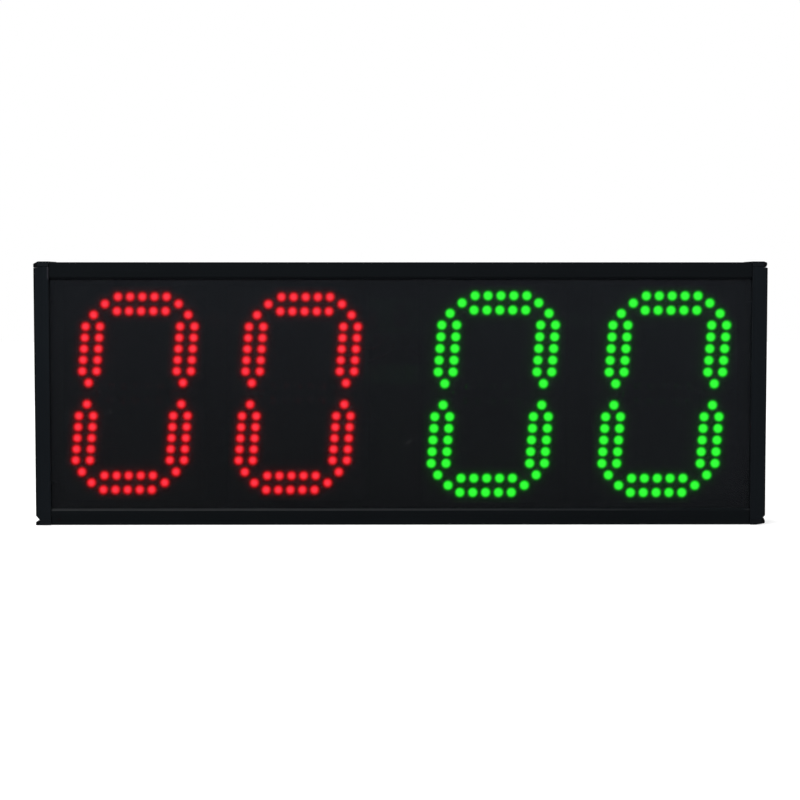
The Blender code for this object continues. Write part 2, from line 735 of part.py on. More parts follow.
def ribbon_middle(plugs, x):
    """The depth of the ribbon at x, in a smooth bow from one plug to the next."""
    for (x0, y0), (x1, y1) in zip(plugs, plugs[1:]):
        share = (x - x0) / (x1 - x0)
        if 0 <= share <= 1:
            ease = share * share * (3 - 2 * share)
            return y0 + (y1 - y0) * ease + RIBBON_BOW * math.sin(math.pi * share) ** 2
    return plugs[-1][1]


def build_ribbon(name, side, board_xs, material):
    """A flat cable from the controller to two digit boards, with a plug pressed on at each."""
    plug_depth = RIBBON_PLUG_SIZE[1]
    controller_y = CONTROLLER_FRONT - HEADER_SIZE[1] - CLEARANCE - plug_depth / 2
    board_y = BOARD_BACK + HEADER_SIZE[1] + CLEARANCE + plug_depth / 2
    plugs = [(side * CONTROLLER_HEADER_X, controller_y)] + [(x, board_y) for x in board_xs]
    start = plugs[0][0]
    end = plugs[-1][0]
    steps = round(abs(end - start) / RIBBON_STEP)
    xs = [start + (end - start) * i / steps for i in range(steps + 1)]
    front = [(x, ribbon_middle(plugs, x) - RIBBON_THICKNESS / 2) for x in xs]
    back = [(x, ribbon_middle(plugs, x) + RIBBON_THICKNESS / 2) for x in xs]
    outline = front + back[::-1]
    low = HEADER_Z - RIBBON_HEIGHT / 2
    ribbon = add(name, prism(outline, "Z", low, low + RIBBON_HEIGHT), material)
    join(ribbon, "plugs", [centred_box(RIBBON_PLUG_SIZE, (x, y, HEADER_Z)) for x, y in plugs], material)


# Buttons


def button_xs():
    """The buttons from the one for the leftmost digit on, as the digits are seen from the front."""
    return [(i - 1.5) * BUTTON_SPACING for i in range(4)]


def build_button(number, x, metal, plastic):
    face = OUTSIDE_Y + BUTTON_BEZEL_THICKNESS
    cap_back = face + BUTTON_CAP_RISE
    cap_front = cap_back - BUTTON_CAP_LENGTH
    well_floor = cap_front - BUTTON_TRAVEL - CLEARANCE
    barrel_end = INSIDE_Y - BUTTON_BARREL_LENGTH
    base_end = BUTTON_BOARD_Y + BOARD_THICKNESS / 2 + CLEARANCE
    bore = BUTTON_CAP_RADIUS + CLEARANCE
    body = [
        (bore, well_floor),
        (bore, face),
        (BUTTON_BEZEL_RADIUS - BUTTON_EDGE, face),
        (BUTTON_BEZEL_RADIUS, face - BUTTON_EDGE),
        (BUTTON_BEZEL_RADIUS, OUTSIDE_Y),
        (BUTTON_BARREL_RADIUS, OUTSIDE_Y),
        (BUTTON_BARREL_RADIUS, barrel_end),
        (BUTTON_BASE_RADIUS, barrel_end),
        (BUTTON_BASE_RADIUS, base_end),
    ]
    centre = (x, BUTTON_Z)
    add(f"digit_button_{number}_body", turned(body, BUTTON_SEGMENTS, centre), metal, smooth=True)
    cap = [
        (BUTTON_CAP_RADIUS - BUTTON_EDGE, cap_back),
        (BUTTON_CAP_RADIUS, cap_back - BUTTON_EDGE),
        (BUTTON_CAP_RADIUS, cap_front),
    ]
    add(f"digit_button_{number}_cap", turned(cap, BUTTON_SEGMENTS, centre), plastic,
        origin=(x, cap_front, BUTTON_Z), smooth=True)
    hexagon = rod(NUT_RADIUS, NUT_SIDES, centre, INSIDE_Y - NUT_THICKNESS, INSIDE_Y)
    nut = add(f"digit_button_{number}_nut", hexagon, metal)
    bore_cut = rod(BUTTON_BARREL_RADIUS + CLEARANCE, BUTTON_SEGMENTS, centre,
                   INSIDE_Y - 2 * NUT_THICKNESS, INSIDE_Y + NUT_THICKNESS)
    cut(nut, "bore", [bore_cut], metal)


def build_button_board(material):
    half_width = 1.5 * BUTTON_SPACING + BUTTON_BOARD_MARGIN
    size = (2 * half_width, BOARD_THICKNESS, BUTTON_BOARD_HEIGHT)
    add("button_board", centred_box(size, (0.0, BUTTON_BOARD_Y, BUTTON_Z)), material)


# Power switch


def build_power_switch(body_material, rocker_material):
    face = OUTSIDE_Y + SWITCH_BEZEL[1]
    body_front = INSIDE_Y - SWITCH_DEPTH
    pivot_y = face - ROCKER_PIVOT_DEPTH
    bezel = centred_box(SWITCH_BEZEL, (SWITCH_X, face - SWITCH_BEZEL[1] / 2, SWITCH_Z))
    switch = add("power_switch_body", bezel, body_material)
    low = (SWITCH_X - SWITCH_BODY[0] / 2, body_front, SWITCH_Z - SWITCH_BODY[1] / 2)
    high = (SWITCH_X + SWITCH_BODY[0] / 2, OUTSIDE_Y + UNION_OVERLAP, SWITCH_Z + SWITCH_BODY[1] / 2)
    join(switch, "body", [box(low, high)], body_material)
    tab_y = body_front - (SWITCH_TAB[1] - UNION_OVERLAP) / 2
    tab_size = (SWITCH_TAB[0], SWITCH_TAB[1] + UNION_OVERLAP, SWITCH_TAB[2])
    tabs = [
        centred_box(tab_size, (SWITCH_X, tab_y, SWITCH_Z + end * SWITCH_TAB_SPACING / 2)) for end in (-1, 1)
    ]
    join(switch, "tabs", tabs, body_material)
    reach = ROCKER_RADIUS + CLEARANCE
    half_width = ROCKER_WIDTH / 2 + CLEARANCE
    well_low = (SWITCH_X - half_width, pivot_y - reach, SWITCH_Z - reach)
    well_high = (SWITCH_X + half_width, face + CLEARANCE, SWITCH_Z + reach)
    cut(switch, "well", [box(well_low, well_high)], body_material)
    rocker = add("power_rocker", rocker_shape(pivot_y), rocker_material, origin=(SWITCH_X, pivot_y, SWITCH_Z))
    rocker.rotation_euler = (ROCKER_TILT, 0, 0)


def rocker_shape(pivot_y):
    """The rocker level, round its pivot: a round back, and a face that dips in the middle."""
    start = math.asin(ROCKER_END / ROCKER_RADIUS)
    sweep = math.pi + 2 * start
    outline = []
    for i in range(ROCKER_ARC_STEPS + 1):
        angle = start - sweep * i / ROCKER_ARC_STEPS
        y = pivot_y + ROCKER_RADIUS * math.sin(angle)
        outline.append((y, SWITCH_Z + ROCKER_RADIUS * math.cos(angle)))
    outline.append((pivot_y + ROCKER_DIP, SWITCH_Z))
    return prism(outline, "X", SWITCH_X - ROCKER_WIDTH / 2, SWITCH_X + ROCKER_WIDTH / 2)


# Charging socket


def build_charge_jack(body_material, metal, cover_material):
    face = OUTSIDE_Y + JACK_PLATE_THICKNESS
    half = JACK_PLATE_WIDTH / 2
    corner = JACK_PLATE_CORNER
    plate = [
        (JACK_X - half, JACK_Z - JACK_PLATE_BELOW + corner),
        (JACK_X - half + corner, JACK_Z - JACK_PLATE_BELOW),
        (JACK_X + half - corner, JACK_Z - JACK_PLATE_BELOW),
        (JACK_X + half, JACK_Z - JACK_PLATE_BELOW + corner),
        (JACK_X + half, JACK_Z + JACK_PLATE_ABOVE - corner),
        (JACK_X + half - corner, JACK_Z + JACK_PLATE_ABOVE),
        (JACK_X - half + corner, JACK_Z + JACK_PLATE_ABOVE),
        (JACK_X - half, JACK_Z + JACK_PLATE_ABOVE - corner),
    ]
    jack = add("charge_jack", prism(plate, "Y", OUTSIDE_Y, face), body_material)
    centre = (JACK_X, JACK_Z)
    barrel_end = INSIDE_Y - JACK_BARREL_LENGTH
    bore_floor = face - JACK_BORE_DEPTH
    hinge_y = face + CLEARANCE + HINGE_KNUCKLE_RADIUS
    hinge_z = JACK_Z + HINGE_RISE
    ears = []
    ear_inner = HINGE_KNUCKLE_WIDTH / 2 + CLEARANCE
    for side in (-1, 1):
        inner = JACK_X + side * ear_inner
        outer = JACK_X + side * (ear_inner + HINGE_EAR_WIDTH)
        low = (min(inner, outer), face - UNION_OVERLAP, hinge_z - HINGE_EAR_HALF_HEIGHT)
        high = (max(inner, outer), hinge_y + HINGE_EAR_HALF_HEIGHT, hinge_z + HINGE_EAR_HALF_HEIGHT)
        ears.append(box(low, high))
    barrel = rod(JACK_BARREL_RADIUS, JACK_SEGMENTS, centre, barrel_end, OUTSIDE_Y + UNION_OVERLAP)
    join(jack, "barrel_and_ears", [barrel, *ears], body_material)
    lug_y = barrel_end - (JACK_LUG[1] - UNION_OVERLAP) / 2
    lug_size = (JACK_LUG[0], JACK_LUG[1] + UNION_OVERLAP, JACK_LUG[2])
    join(jack, "lug", [centred_box(lug_size, (JACK_X, lug_y, JACK_Z + JACK_LUG_RISE))], body_material)
    bore = rod(JACK_BORE_RADIUS, JACK_SEGMENTS, centre, bore_floor, face + CLEARANCE)
    pin_hole_reach = ear_inner + HINGE_EAR_WIDTH + CLEARANCE
    pin_hole = cross_rod(HINGE_PIN_RADIUS + CLEARANCE, pin_hole_reach, (hinge_y, hinge_z))
    cut(jack, "bore_and_pin_hole", [bore, pin_hole], body_material)
    pin = rod(JACK_PIN_RADIUS, HINGE_SEGMENTS, centre, bore_floor - UNION_OVERLAP,
              bore_floor + JACK_PIN_LENGTH)
    join(jack, "contact_pin", [pin], body_material)
    hexagon = rod(JACK_NUT_RADIUS, NUT_SIDES, centre, INSIDE_Y - JACK_NUT_THICKNESS, INSIDE_Y)
    nut = add("charge_jack_nut", hexagon, metal)
    nut_bore = rod(JACK_BARREL_RADIUS + CLEARANCE, JACK_SEGMENTS, centre,
                   INSIDE_Y - 2 * JACK_NUT_THICKNESS, INSIDE_Y + JACK_NUT_THICKNESS)
    cut(nut, "bore", [nut_bore], metal)
    build_port_cover(face, hinge_y, hinge_z, ear_inner, cover_material)


def cross_rod(radius, half_length, centre):
    """A rod along X over the middle of the charging socket, at centre (y, z)."""
    outline = [(centre[0] + y, centre[1] + z) for y, z in circle(radius, HINGE_SEGMENTS)]
    return prism(outline, "X", JACK_X - half_length, JACK_X + half_length)


def build_port_cover(face, hinge_y, hinge_z, ear_inner, material):
    """The round cover that hangs shut over the socket, with the pin that it turns on."""
    inner = face + CLEARANCE
    outer = inner + COVER_THICKNESS
    disc = [
        (COVER_RADIUS, inner),
        (COVER_RADIUS, outer - COVER_EDGE),
        (COVER_RADIUS - COVER_EDGE, outer),
    ]
    cover = add("charge_port_cover", turned(disc, JACK_SEGMENTS, (JACK_X, JACK_Z)), material,
                origin=(JACK_X, hinge_y, hinge_z), smooth=True)
    half_width = HINGE_KNUCKLE_WIDTH / 2
    knuckle = cross_rod(HINGE_KNUCKLE_RADIUS, half_width, (hinge_y, hinge_z))
    pin = cross_rod(HINGE_PIN_RADIUS, ear_inner + HINGE_EAR_WIDTH, (hinge_y, hinge_z))
    arm_low = (JACK_X - half_width + UNION_OVERLAP, inner, JACK_Z)
    arm_high = (JACK_X + half_width - UNION_OVERLAP, outer - UNION_OVERLAP, hinge_z)
    for name, shape in (("arm", box(arm_low, arm_high)), ("knuckle", knuckle), ("pin", pin)):
        join(cover, name, [shape], material)


# Battery


def build_battery(wrap_material, tray_material):
    """Cells side by side in a shrunk sleeve, held by a springy tray on the back panel."""
    back = INSIDE_Y - TRAY_THICKNESS - CLEARANCE
    middle_y = back - CELL_RADIUS
    first = BATTERY_X - (CELL_COUNT - 1) * CELL_RADIUS
    front_side = []
    back_side = []
    for i in range(CELL_COUNT):
        cell_x = first + 2 * i * CELL_RADIUS
        left = math.pi / 2 if i == 0 else SLEEVE_TURN
        right = math.pi / 2 if i == CELL_COUNT - 1 else SLEEVE_TURN
        for step in range(CELL_ARC_STEPS + 1):
            angle = -left + (left + right) * step / CELL_ARC_STEPS
            across = CELL_RADIUS * math.sin(angle)
            deep = CELL_RADIUS * math.cos(angle)
            front_side.append((cell_x + across, middle_y - deep))
            if deep > CELL_RADIUS / 100:
                back_side.append((cell_x + across, middle_y + deep))
    outline = front_side + back_side[::-1]
    low = BATTERY_Z - CELL_LENGTH / 2
    add("battery_pack", prism(outline, "Z", low, low + CELL_LENGTH), wrap_material)
    tray_half = CELL_COUNT * CELL_RADIUS + CLEARANCE
    tray_front = middle_y - CELL_RADIUS * math.cos(SLEEVE_TURN)
    left = BATTERY_X - tray_half
    right = BATTERY_X + tray_half
    tray = [
        (left - TRAY_THICKNESS, INSIDE_Y),
        (left - TRAY_THICKNESS, tray_front - TRAY_THICKNESS),
        (left + CELL_RADIUS - TRAY_HOOK, middle_y - CELL_RADIUS - CLEARANCE - TRAY_THICKNESS),
        (left + CELL_RADIUS - TRAY_HOOK, middle_y - CELL_RADIUS - CLEARANCE),
        (left, tray_front),
        (left, INSIDE_Y - TRAY_THICKNESS),
        (right, INSIDE_Y - TRAY_THICKNESS),
        (right, tray_front),
        (right - CELL_RADIUS + TRAY_HOOK, middle_y - CELL_RADIUS - CLEARANCE),
        (right - CELL_RADIUS + TRAY_HOOK, middle_y - CELL_RADIUS - CLEARANCE - TRAY_THICKNESS),
        (right + TRAY_THICKNESS, tray_front - TRAY_THICKNESS),
        (right + TRAY_THICKNESS, INSIDE_Y),
    ]
    tray_low = BATTERY_Z - TRAY_LENGTH / 2
    add("battery_tray", prism(tray, "Z", tray_low, tray_low + TRAY_LENGTH), tray_material)


# Handles


def handle_route(x):
    """From the foot at the lower hole, out, up and back to the upper one, with round bends."""
    bottom, top = [z for _, z in handle_screw_places(x)]
    reach = PANEL_BACK + HANDLE_REACH
    route = [Vector((x, OUTSIDE_Y, bottom))]
    corners = ((bottom + HANDLE_BEND, math.pi), (top - HANDLE_BEND, math.pi / 2))
    for centre_z, turn_start in corners:
        centre = Vector((x, reach - HANDLE_BEND, centre_z))
        for i in range(HANDLE_BEND_STEPS + 1):
            angle = turn_start - math.pi / 2 * i / HANDLE_BEND_STEPS
            out = HANDLE_BEND * math.sin(angle)
            up = HANDLE_BEND * math.cos(angle)
            route.append(centre + Vector((0, out, up)))
    route.append(Vector((x, OUTSIDE_Y, top)))
    return route


def build_handle(side_name, x, metal, rubber, steel):
    bar = swept(handle_route(x), HANDLE_RADIUS, HANDLE_SIDES)
    handle = add(f"{side_name}_handle", bar, metal, smooth=True)
    bore = HANDLE_SCREW["shank"] + SCREW_PLAY
    bores = [
        rod(bore, SCREW_SEGMENTS, place, OUTSIDE_Y - CLEARANCE, OUTSIDE_Y + HANDLE_BORE_DEPTH)
        for place in handle_screw_places(x)
    ]
    cut(handle, "bores", bores, metal)
    add(f"{side_name}_handle_grip", grip_tube(x), rubber, smooth=True)
    for end_name, place in zip(("lower", "upper"), handle_screw_places(x)):
        screw(f"{side_name}_handle_{end_name}_screw", place, INSIDE_Y, 1, HANDLE_SCREW, steel)


def grip_tube(x):
    """A rubber tube round the straight middle of a handle."""
    inner = HANDLE_RADIUS + CLEARANCE
    half = GRIP_LENGTH / 2
    section = [
        (inner, -half),
        (GRIP_RADIUS - GRIP_EDGE, -half),
        (GRIP_RADIUS, -half + GRIP_EDGE),
        (GRIP_RADIUS, half - GRIP_EDGE),
        (GRIP_RADIUS - GRIP_EDGE, half),
        (inner, half),
    ]
    middle_y = PANEL_BACK + HANDLE_REACH
    tube = bmesh.new()
    rings = []
    for radius, up in section:
        ring = circle(radius, HANDLE_SIDES, math.pi / HANDLE_SIDES)
        rings.append([tube.verts.new((x + px, middle_y + py, MIDDLE_Z + up)) for px, py in ring])
    for lower, upper in zip(rings, rings[1:] + rings[:1]):
        for i in range(HANDLE_SIDES):
            j = (i + 1) % HANDLE_SIDES
            tube.faces.new((lower[i], lower[j], upper[j], upper[i]))
    bmesh.ops.recalc_face_normals(tube, faces=tube.faces)
    return tube


# Leads


def smooth_route(points, step):
    """Points about a step apart on a smooth curve through the given ones."""
    padded = [points[0] * 2 - points[1], *points, points[-1] * 2 - points[-2]]
    route = []
    for a, b, c, d in zip(padded, padded[1:], padded[2:], padded[3:]):
        pieces = max(1, round((c - b).length / step))
        for i in range(pieces):
            t = i / pieces
            bend = (a * 2 - b * 5 + c * 4 - d) * t**2
            turn = (b * 3 - a - c * 3 + d) * t**3
            route.append((b * 2 + (c - a) * t + bend + turn) / 2)
    route.append(points[-1])
    return route


def build_lead(name, points, material):
    curve = bpy.data.curves.new(name, "CURVE")
    curve.dimensions = "3D"
    curve.bevel_depth = LEAD_RADIUS
    curve.bevel_resolution = 2
    curve.use_fill_caps = True
    route = smooth_route([Vector(point) for point in points], LEAD_STEP)
    spline = curve.splines.new("POLY")
    spline.points.add(len(route) - 1)
    for target, point in zip(spline.points, route):
        target.co = (*point, 1.0)
    curve.materials.append(material)
    bpy.context.scene.collection.objects.link(bpy.data.objects.new(name, curve))


def build_leads(material):
    """The four leads to the controller. The points between their ends are set to clear what lies between."""
    block_y = CONTROLLER_FRONT - TERMINAL_BLOCK_SIZE[1] / 2
    block_z = CONTROLLER_BOTTOM
    battery_top = BATTERY_Z + CELL_LENGTH / 2 + CLEARANCE
    battery_exit_x = BATTERY_X + (CELL_COUNT - 1) * CELL_RADIUS
    battery_y = INSIDE_Y - TRAY_THICKNESS - CLEARANCE - CELL_RADIUS

    def arrive(key):
        x = LEAD_EXITS[key]
        return [(x, block_y, block_z - 0.007), (x, block_y, block_z)]

    build_lead("battery_lead", [
        (battery_exit_x, battery_y, battery_top),
        (battery_exit_x, battery_y, battery_top + 0.005),
        (battery_exit_x + 0.012, battery_y - 0.001, battery_top + 0.012),
        (-0.045, block_y + 0.001, block_z - 0.0075),
        (LEAD_EXITS["battery"] - 0.007, block_y, block_z - 0.0065),
        (LEAD_EXITS["battery"], block_y, block_z - 0.0025),
        (LEAD_EXITS["battery"], block_y, block_z),
    ], material)
    lug_y = INSIDE_Y - JACK_BARREL_LENGTH - JACK_LUG[1] / 2
    lug_top = JACK_Z + JACK_LUG_RISE + JACK_LUG[2] / 2 + CLEARANCE
    build_lead("jack_lead", rising_route(JACK_X, lug_y, lug_top) + arrive("jack"), material)
    tab_y = INSIDE_Y - SWITCH_DEPTH - SWITCH_TAB[1] / 2
    tab_top = SWITCH_Z + (SWITCH_TAB_SPACING + SWITCH_TAB[2]) / 2 + CLEARANCE
    build_lead("switch_lead", rising_route(SWITCH_X, tab_y, tab_top) + arrive("switch"), material)
    board_top = BUTTON_Z + BUTTON_BOARD_HEIGHT / 2 + CLEARANCE
    x = LEAD_EXITS["button"]
    build_lead("button_lead", [
        (x, BUTTON_BOARD_Y, board_top),
        (x, BUTTON_BOARD_Y, board_top + 0.004),
        (x, BUTTON_BOARD_Y + 0.003, board_top + 0.010),
        *arrive("button"),
    ], material)


def rising_route(x, y, z):
    """From the top of a control's solder tab up between two push buttons."""
    side = math.copysign(1.0, x)
    passage = side * BUTTON_SPACING
    return [
        (x, y, z),
        (x, y, z + 0.006),
        (x + side * 0.003, y + 0.001, z + 0.013),
        (passage - side * 0.001, y + 0.004, z + 0.028),
        (passage, y + 0.006, BUTTON_Z - 0.006),
        (passage - side * 0.001, y + 0.006, BUTTON_Z + 0.004),
        (passage - side * 0.007, y + 0.005, BUTTON_Z + 0.012),
        (side * 0.016, y + 0.004, BUTTON_Z + 0.019),
    ]


def main():
    clear_scene()
    aluminium = principled("black_anodised_aluminium", (0.016, 0.018, 0.021), 0.42, 0.6)
    cap_plastic = principled("black_moulded_plastic", (0.014, 0.015, 0.017), 0.5)
    window = principled("smoked_acrylic", (0.010, 0.011, 0.013), 0.22, alpha=0.55)
    panel = principled("black_painted_sheet", (0.020, 0.021, 0.023), 0.5, 0.2)
    circuit = principled("black_circuit_board", (0.012, 0.014, 0.013), 0.45)
    red_lamp = principled("red_lamp", (0.85, 0.03, 0.05), 0.25)
    green_lamp = principled("green_lamp", (0.05, 0.80, 0.08), 0.25)
    green_board = principled("green_circuit_board", (0.02, 0.12, 0.05), 0.4)
    steel = principled("zinc_plated_steel", (0.55, 0.56, 0.58), 0.35, 1.0)
    nickel = principled("nickel_plated_brass", (0.60, 0.59, 0.56), 0.28, 1.0)
    button_cap = principled("grey_button_cap", (0.30, 0.31, 0.32), 0.45)
    rocker = principled("red_rocker", (0.45, 0.02, 0.02), 0.35)
    rubber = principled("black_rubber", (0.018, 0.018, 0.018), 0.8)
    handle_metal = principled("satin_handle", (0.035, 0.036, 0.038), 0.4, 0.7)
    wrap = principled("blue_cell_sleeve", (0.03, 0.10, 0.30), 0.3)
    lead = principled("lead_insulation", (0.03, 0.03, 0.035), 0.5)
    ribbon = principled("grey_ribbon_cable", (0.32, 0.33, 0.35), 0.5)

    build_frame(aluminium, cap_plastic, steel)
    build_window(window)
    build_back_panel(panel)
    build_panel_screws(steel)
    build_digit_boards(circuit, red_lamp, green_lamp)
    build_controller(green_board)
    build_ribbon("left_ribbon_cable", -1, RED_CENTRES[::-1], ribbon)
    build_ribbon("right_ribbon_cable", 1, GREEN_CENTRES, ribbon)
    for i, x in enumerate(button_xs()):
        build_button(i + 1, x, nickel, button_cap)
    build_button_board(green_board)
    build_power_switch(cap_plastic, rocker)
    build_charge_jack(cap_plastic, nickel, rubber)
    build_battery(wrap, cap_plastic)
    for side_name, side in (("left", -1), ("right", 1)):
        build_handle(side_name, side * HANDLE_X, handle_metal, rubber, steel)
    build_leads(lead)


main()
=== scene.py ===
# Looks of the substitution board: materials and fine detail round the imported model, a pale floor, soft light
# and the camera. Metres, +Z up. The display faces -Y, and its controls and handles are on the back, at +Y.
import math
import random

import bmesh
import bpy
from mathutils import Matrix, Vector


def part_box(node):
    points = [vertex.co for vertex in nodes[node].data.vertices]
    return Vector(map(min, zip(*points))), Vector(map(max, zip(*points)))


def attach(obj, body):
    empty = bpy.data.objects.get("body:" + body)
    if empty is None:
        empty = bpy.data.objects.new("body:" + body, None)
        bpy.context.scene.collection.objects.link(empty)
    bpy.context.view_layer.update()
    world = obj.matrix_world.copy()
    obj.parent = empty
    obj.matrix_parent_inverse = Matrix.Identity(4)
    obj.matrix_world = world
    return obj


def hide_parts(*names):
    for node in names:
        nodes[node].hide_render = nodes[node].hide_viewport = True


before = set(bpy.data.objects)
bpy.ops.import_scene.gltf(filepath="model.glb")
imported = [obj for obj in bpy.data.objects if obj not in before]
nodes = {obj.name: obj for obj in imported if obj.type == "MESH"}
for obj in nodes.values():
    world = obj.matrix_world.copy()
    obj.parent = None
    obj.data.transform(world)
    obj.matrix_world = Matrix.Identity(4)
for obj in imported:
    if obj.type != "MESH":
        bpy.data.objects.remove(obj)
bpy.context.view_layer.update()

# Lamps, in the pattern of the model's digit boards but set digit by digit
LAMPS_PER_ROW = 5
CORNER_STEP = 0.0125
COLUMN_END_STEP = 0.01175
FIRST_LAMP_HEIGHT = 0.0225
DIGIT_SETTING = {  # slant of each digit's lamps, and how far they sit right of and above the board's middle
    1: (0.0839, 0.0008, 0.0004),
    2: (0.0827, 0.0004, 0.0001),
    3: (0.0754, 0.0001, -0.0006),
    4: (0.0740, -0.0001, -0.0008),
}
LAYOUTS = {  # pitch and gap of the rows, half the height, pitch and gap of the columns, half the width
    "red": (0.01215, 0.0143, 0.0969, 0.01115, 0.0143, 0.0544),
    "green": (0.01295, 0.0144, 0.0989, 0.01175, 0.0149, 0.0570),
}
LAMP_RADIUS = 0.0038
LAMP_FLANGE_RADIUS = 0.0040
LAMP_FLANGE_THICKNESS = 0.0010
LAMP_HEIGHT = 0.0110
LAMP_SEGMENTS = 16
LAMP_DOME_STEPS = 5
LAMP_SMOOTH_ANGLE = 60.0
CORE_RIM = 0.05  # least value of the core attribute, which is 0.9 at the tip of a lamp
COLLAR_INNER = 0.00425
COLLAR_OUTER = 0.0051
COLLAR_HEIGHT = 0.0045
COLLAR_EDGE = 0.0003
BOARD_THICKNESS = 0.0016
BOARD_CORNER = 0.0020
HEADER_SIZE = (0.0088, 0.0060, 0.0203)
HEADER_Z = 0.205
HEADER_EDGE = 0.0004
SPACER_INSET = 0.0045  # from the edges of a board to the screws that hold it
BOARD_SCREW_RADIUS = 0.0028
BOARD_SCREW_HEIGHT = 0.0017
BOARD_SCREW_EDGE = 0.0008
SOLDER_RADIUS = 0.0007
SOLDER_HEIGHT = 0.0009
SOLDER_SPACING = 0.00254
SOLDER_SIDES = 6
TRACK_BANDS = 210.0  # scale of the wave texture, for tracks 1.5 mm apart
CABLE_BANDS = 247.0  # for wires 1.27 mm apart

# Film behind the window that stands for the light of the lamps
FILM_GAP = 0.0004  # to the window
FILM_THICKNESS = 0.0001
FILM_STEP = 0.0010
FILM_MARGIN = 0.0110
GLOW_REACH = 0.0110
SPREADS = {  # radius and steepness of the spot of a lamp, and share of its haze
    "red": (0.00422, 3.90, 0.046),
    "green": (0.00448, 5.80, 0.041),
}
HAZE_RADIUS = 0.0059
GLOWS = {  # colour of a spot's rim and middle, and power of the glow by which the one changes to the other
    "red": ((1.0, 0.0, 0.003), (1.0, 0.034, 0.058), 3.0),
    "green": ((0.0, 1.0, 0.0), (0.029, 1.0, 0.034), 1.0),
}
WINDOW_COVER = 0.68  # of each face of the smoked window
SPOT_LEVEL = 1.10  # of the middle of a spot, seen through both faces of the window
FILM_STRENGTH = SPOT_LEVEL / (1 - WINDOW_COVER) ** 2
LAMP_STRENGTH = 2.5
WINDOW_MARKS = (  # place across and up, length, width, slope in degrees and strength
    (-0.2912, 0.1138, 0.0026, 0.0034, 0.0, 0.9),
    (0.0073, 0.0830, 0.0105, 0.0030, 32.0, 0.55),
)

# Corner caps. A place on a cap is its inset from the outer side and its rise from the outer end.
CAP_THICKNESS = 0.0050
SIDE_FACE = 0.0150
CAP_LEG = (0.0043, 0.0147, 0.040)  # insets of its sides, and its end
CAP_OVERLAP = 0.0004  # of the shapes a cap is joined from
CAP_ARM_START = 0.0021  # from the outside of the rail
CAP_ARM_LENGTH = 0.045
CAP_ARM_HEIGHT = 0.0080
CAP_ARM_DEPTH = (-0.0158, 0.0194)
CAP_SCREW_RADIUS = 0.0018
CAP_SCREW_PLACE = (0.0095, 0.025)
CAP_SCREW_START = 0.0105
CUT_MARGIN = 0.001  # by which a hole's shape reaches past the surface
EARS = {  # where each ear leaves the end, its tip, and where its inner face meets the chamfer of the profile
    "top_left": ((0.0046, 0.0), (0.0006, 0.0021), (0.0, 0.0028), (0.0, 0.0061), (0.0040, 0.0050)),
    "top_right": ((0.0038, 0.0), (0.0012, 0.0010), (0.0006, 0.0014), (0.0008, 0.0038), (0.0018, 0.0056)),
    "bottom_left": ((0.0020, 0.0), (0.0004, 0.0), (0.0, 0.0004), (0.0002, 0.0035), (0.0040, 0.0050)),
    "bottom_right": (
        (0.0090, 0.0), (0.0012, 0.0013), (0.0002, 0.0022), (0.0002, 0.0040), (0.0016, 0.0071),
        (0.0030, 0.0060),
    ),
}
EAR_WIDTH = 0.0042  # of the dark ears, from the outer side
FRAME_EDGE = 0.0002  # roundness of the edges of the frame

# Rails and side profiles
LIP_HEIGHT = 0.0166
LIP_BEVEL = 0.0024
PAINTED_END_HIGHLIGHT = (0.0012, 0.0045)  # height and width of the painted highlight on the upper end of a side profile
PAINTED_HIGHLIGHT_END = (0.19, 0.29)  # where the painted highlight along the lower lip starts to fade, and where it ends
PAINTED_HIGHLIGHT_AGAIN = 0.344  # where the painted highlight shows again, next to the right side profile

# Hardware on the back
SHARP_ANGLE = 40.0  # from which an edge stays sharp
SMOOTH_SEGMENTS = 40
BAR_SEGMENTS = 32
KNUCKLE_SEGMENTS = 28
HOLE_SEGMENTS = 20
JOIN_DEPTH = 0.0002  # by which shapes run into each other where they are joined or cut
SCREWS = {  # shank radius, height of the head and depth of its cross recess
    "panel": (0.0014, 0.0018, 0.0010),
    "corner": (0.0015, 0.0020, 0.0011),
    "handle": (0.0025, 0.0028, 0.0016),
}
RECESS_LENGTH = 0.62  # half the length of the cross, as a share of the head's radius
RECESS_WIDTH = 0.15
RECESS_REACH = 1.2  # of the shape that cuts it, as a share of the head's height
RECESS_TAPER = 0.45  # of its length at the bottom
SCREW_CROWN = 0.55  # height of the round part of a head, as a share of the head's
SCREW_CORNER = 0.8  # radius of its rim, as a share of the crown
SCREW_TOP = ((0.45, 0.0), (0.72, 0.18))  # (share of the head's radius, share of the crown below the top)
SCREW_TIP = 0.5
THREAD_PITCH = 0.0006
THREAD_DEPTH = 0.0003
PANEL_OUTSIDE = 0.0233  # where the controls start, just off the back panel
PANEL_INSIDE = 0.0212  # from which the length of their bodies is counted
BUTTON_BEZEL = (0.0085, 0.0018)  # radius and thickness
BUTTON_BARREL_RADIUS = 0.0062
BUTTON_BARREL_LENGTH = 0.0110
BUTTON_BASE_RADIUS = 0.0050
BUTTON_BORE = 0.0048
BUTTON_BORE_EDGE = 0.0003
BUTTON_WELL = 0.0023  # room below the cap at rest
BUTTON_CAP_RADIUS = 0.0045
BUTTON_CAP_DISH = ((0.0026, 0.00024), (0.0012, 0.0004))  # radius and depth
EDGE_RADIUS = 0.0007
ARC_STEPS = 5
SWITCH_BEZEL = (0.0150, 0.0210)  # width and height
SWITCH_RIM = ((0.0008, 0.0009, 0.0), (0.0002, 0.0014, 0.0003), (0.0, 0.0016, 0.0009))  # inset, corner, drop
SWITCH_BODY = (0.0124, 0.0186)
SWITCH_BODY_CORNER = 0.0006
SWITCH_WELL_CORNER = 0.0003
SWITCH_WELL_EDGE = 0.0006
SWITCH_TAB_HALF = (0.00315, 0.0005)
SWITCH_TAB_PLACE = 0.005  # above and below the middle
TAB_EDGE = 0.0002
SWITCH_DEPTH = 0.0120
ROCKER_RADIUS = 0.0072
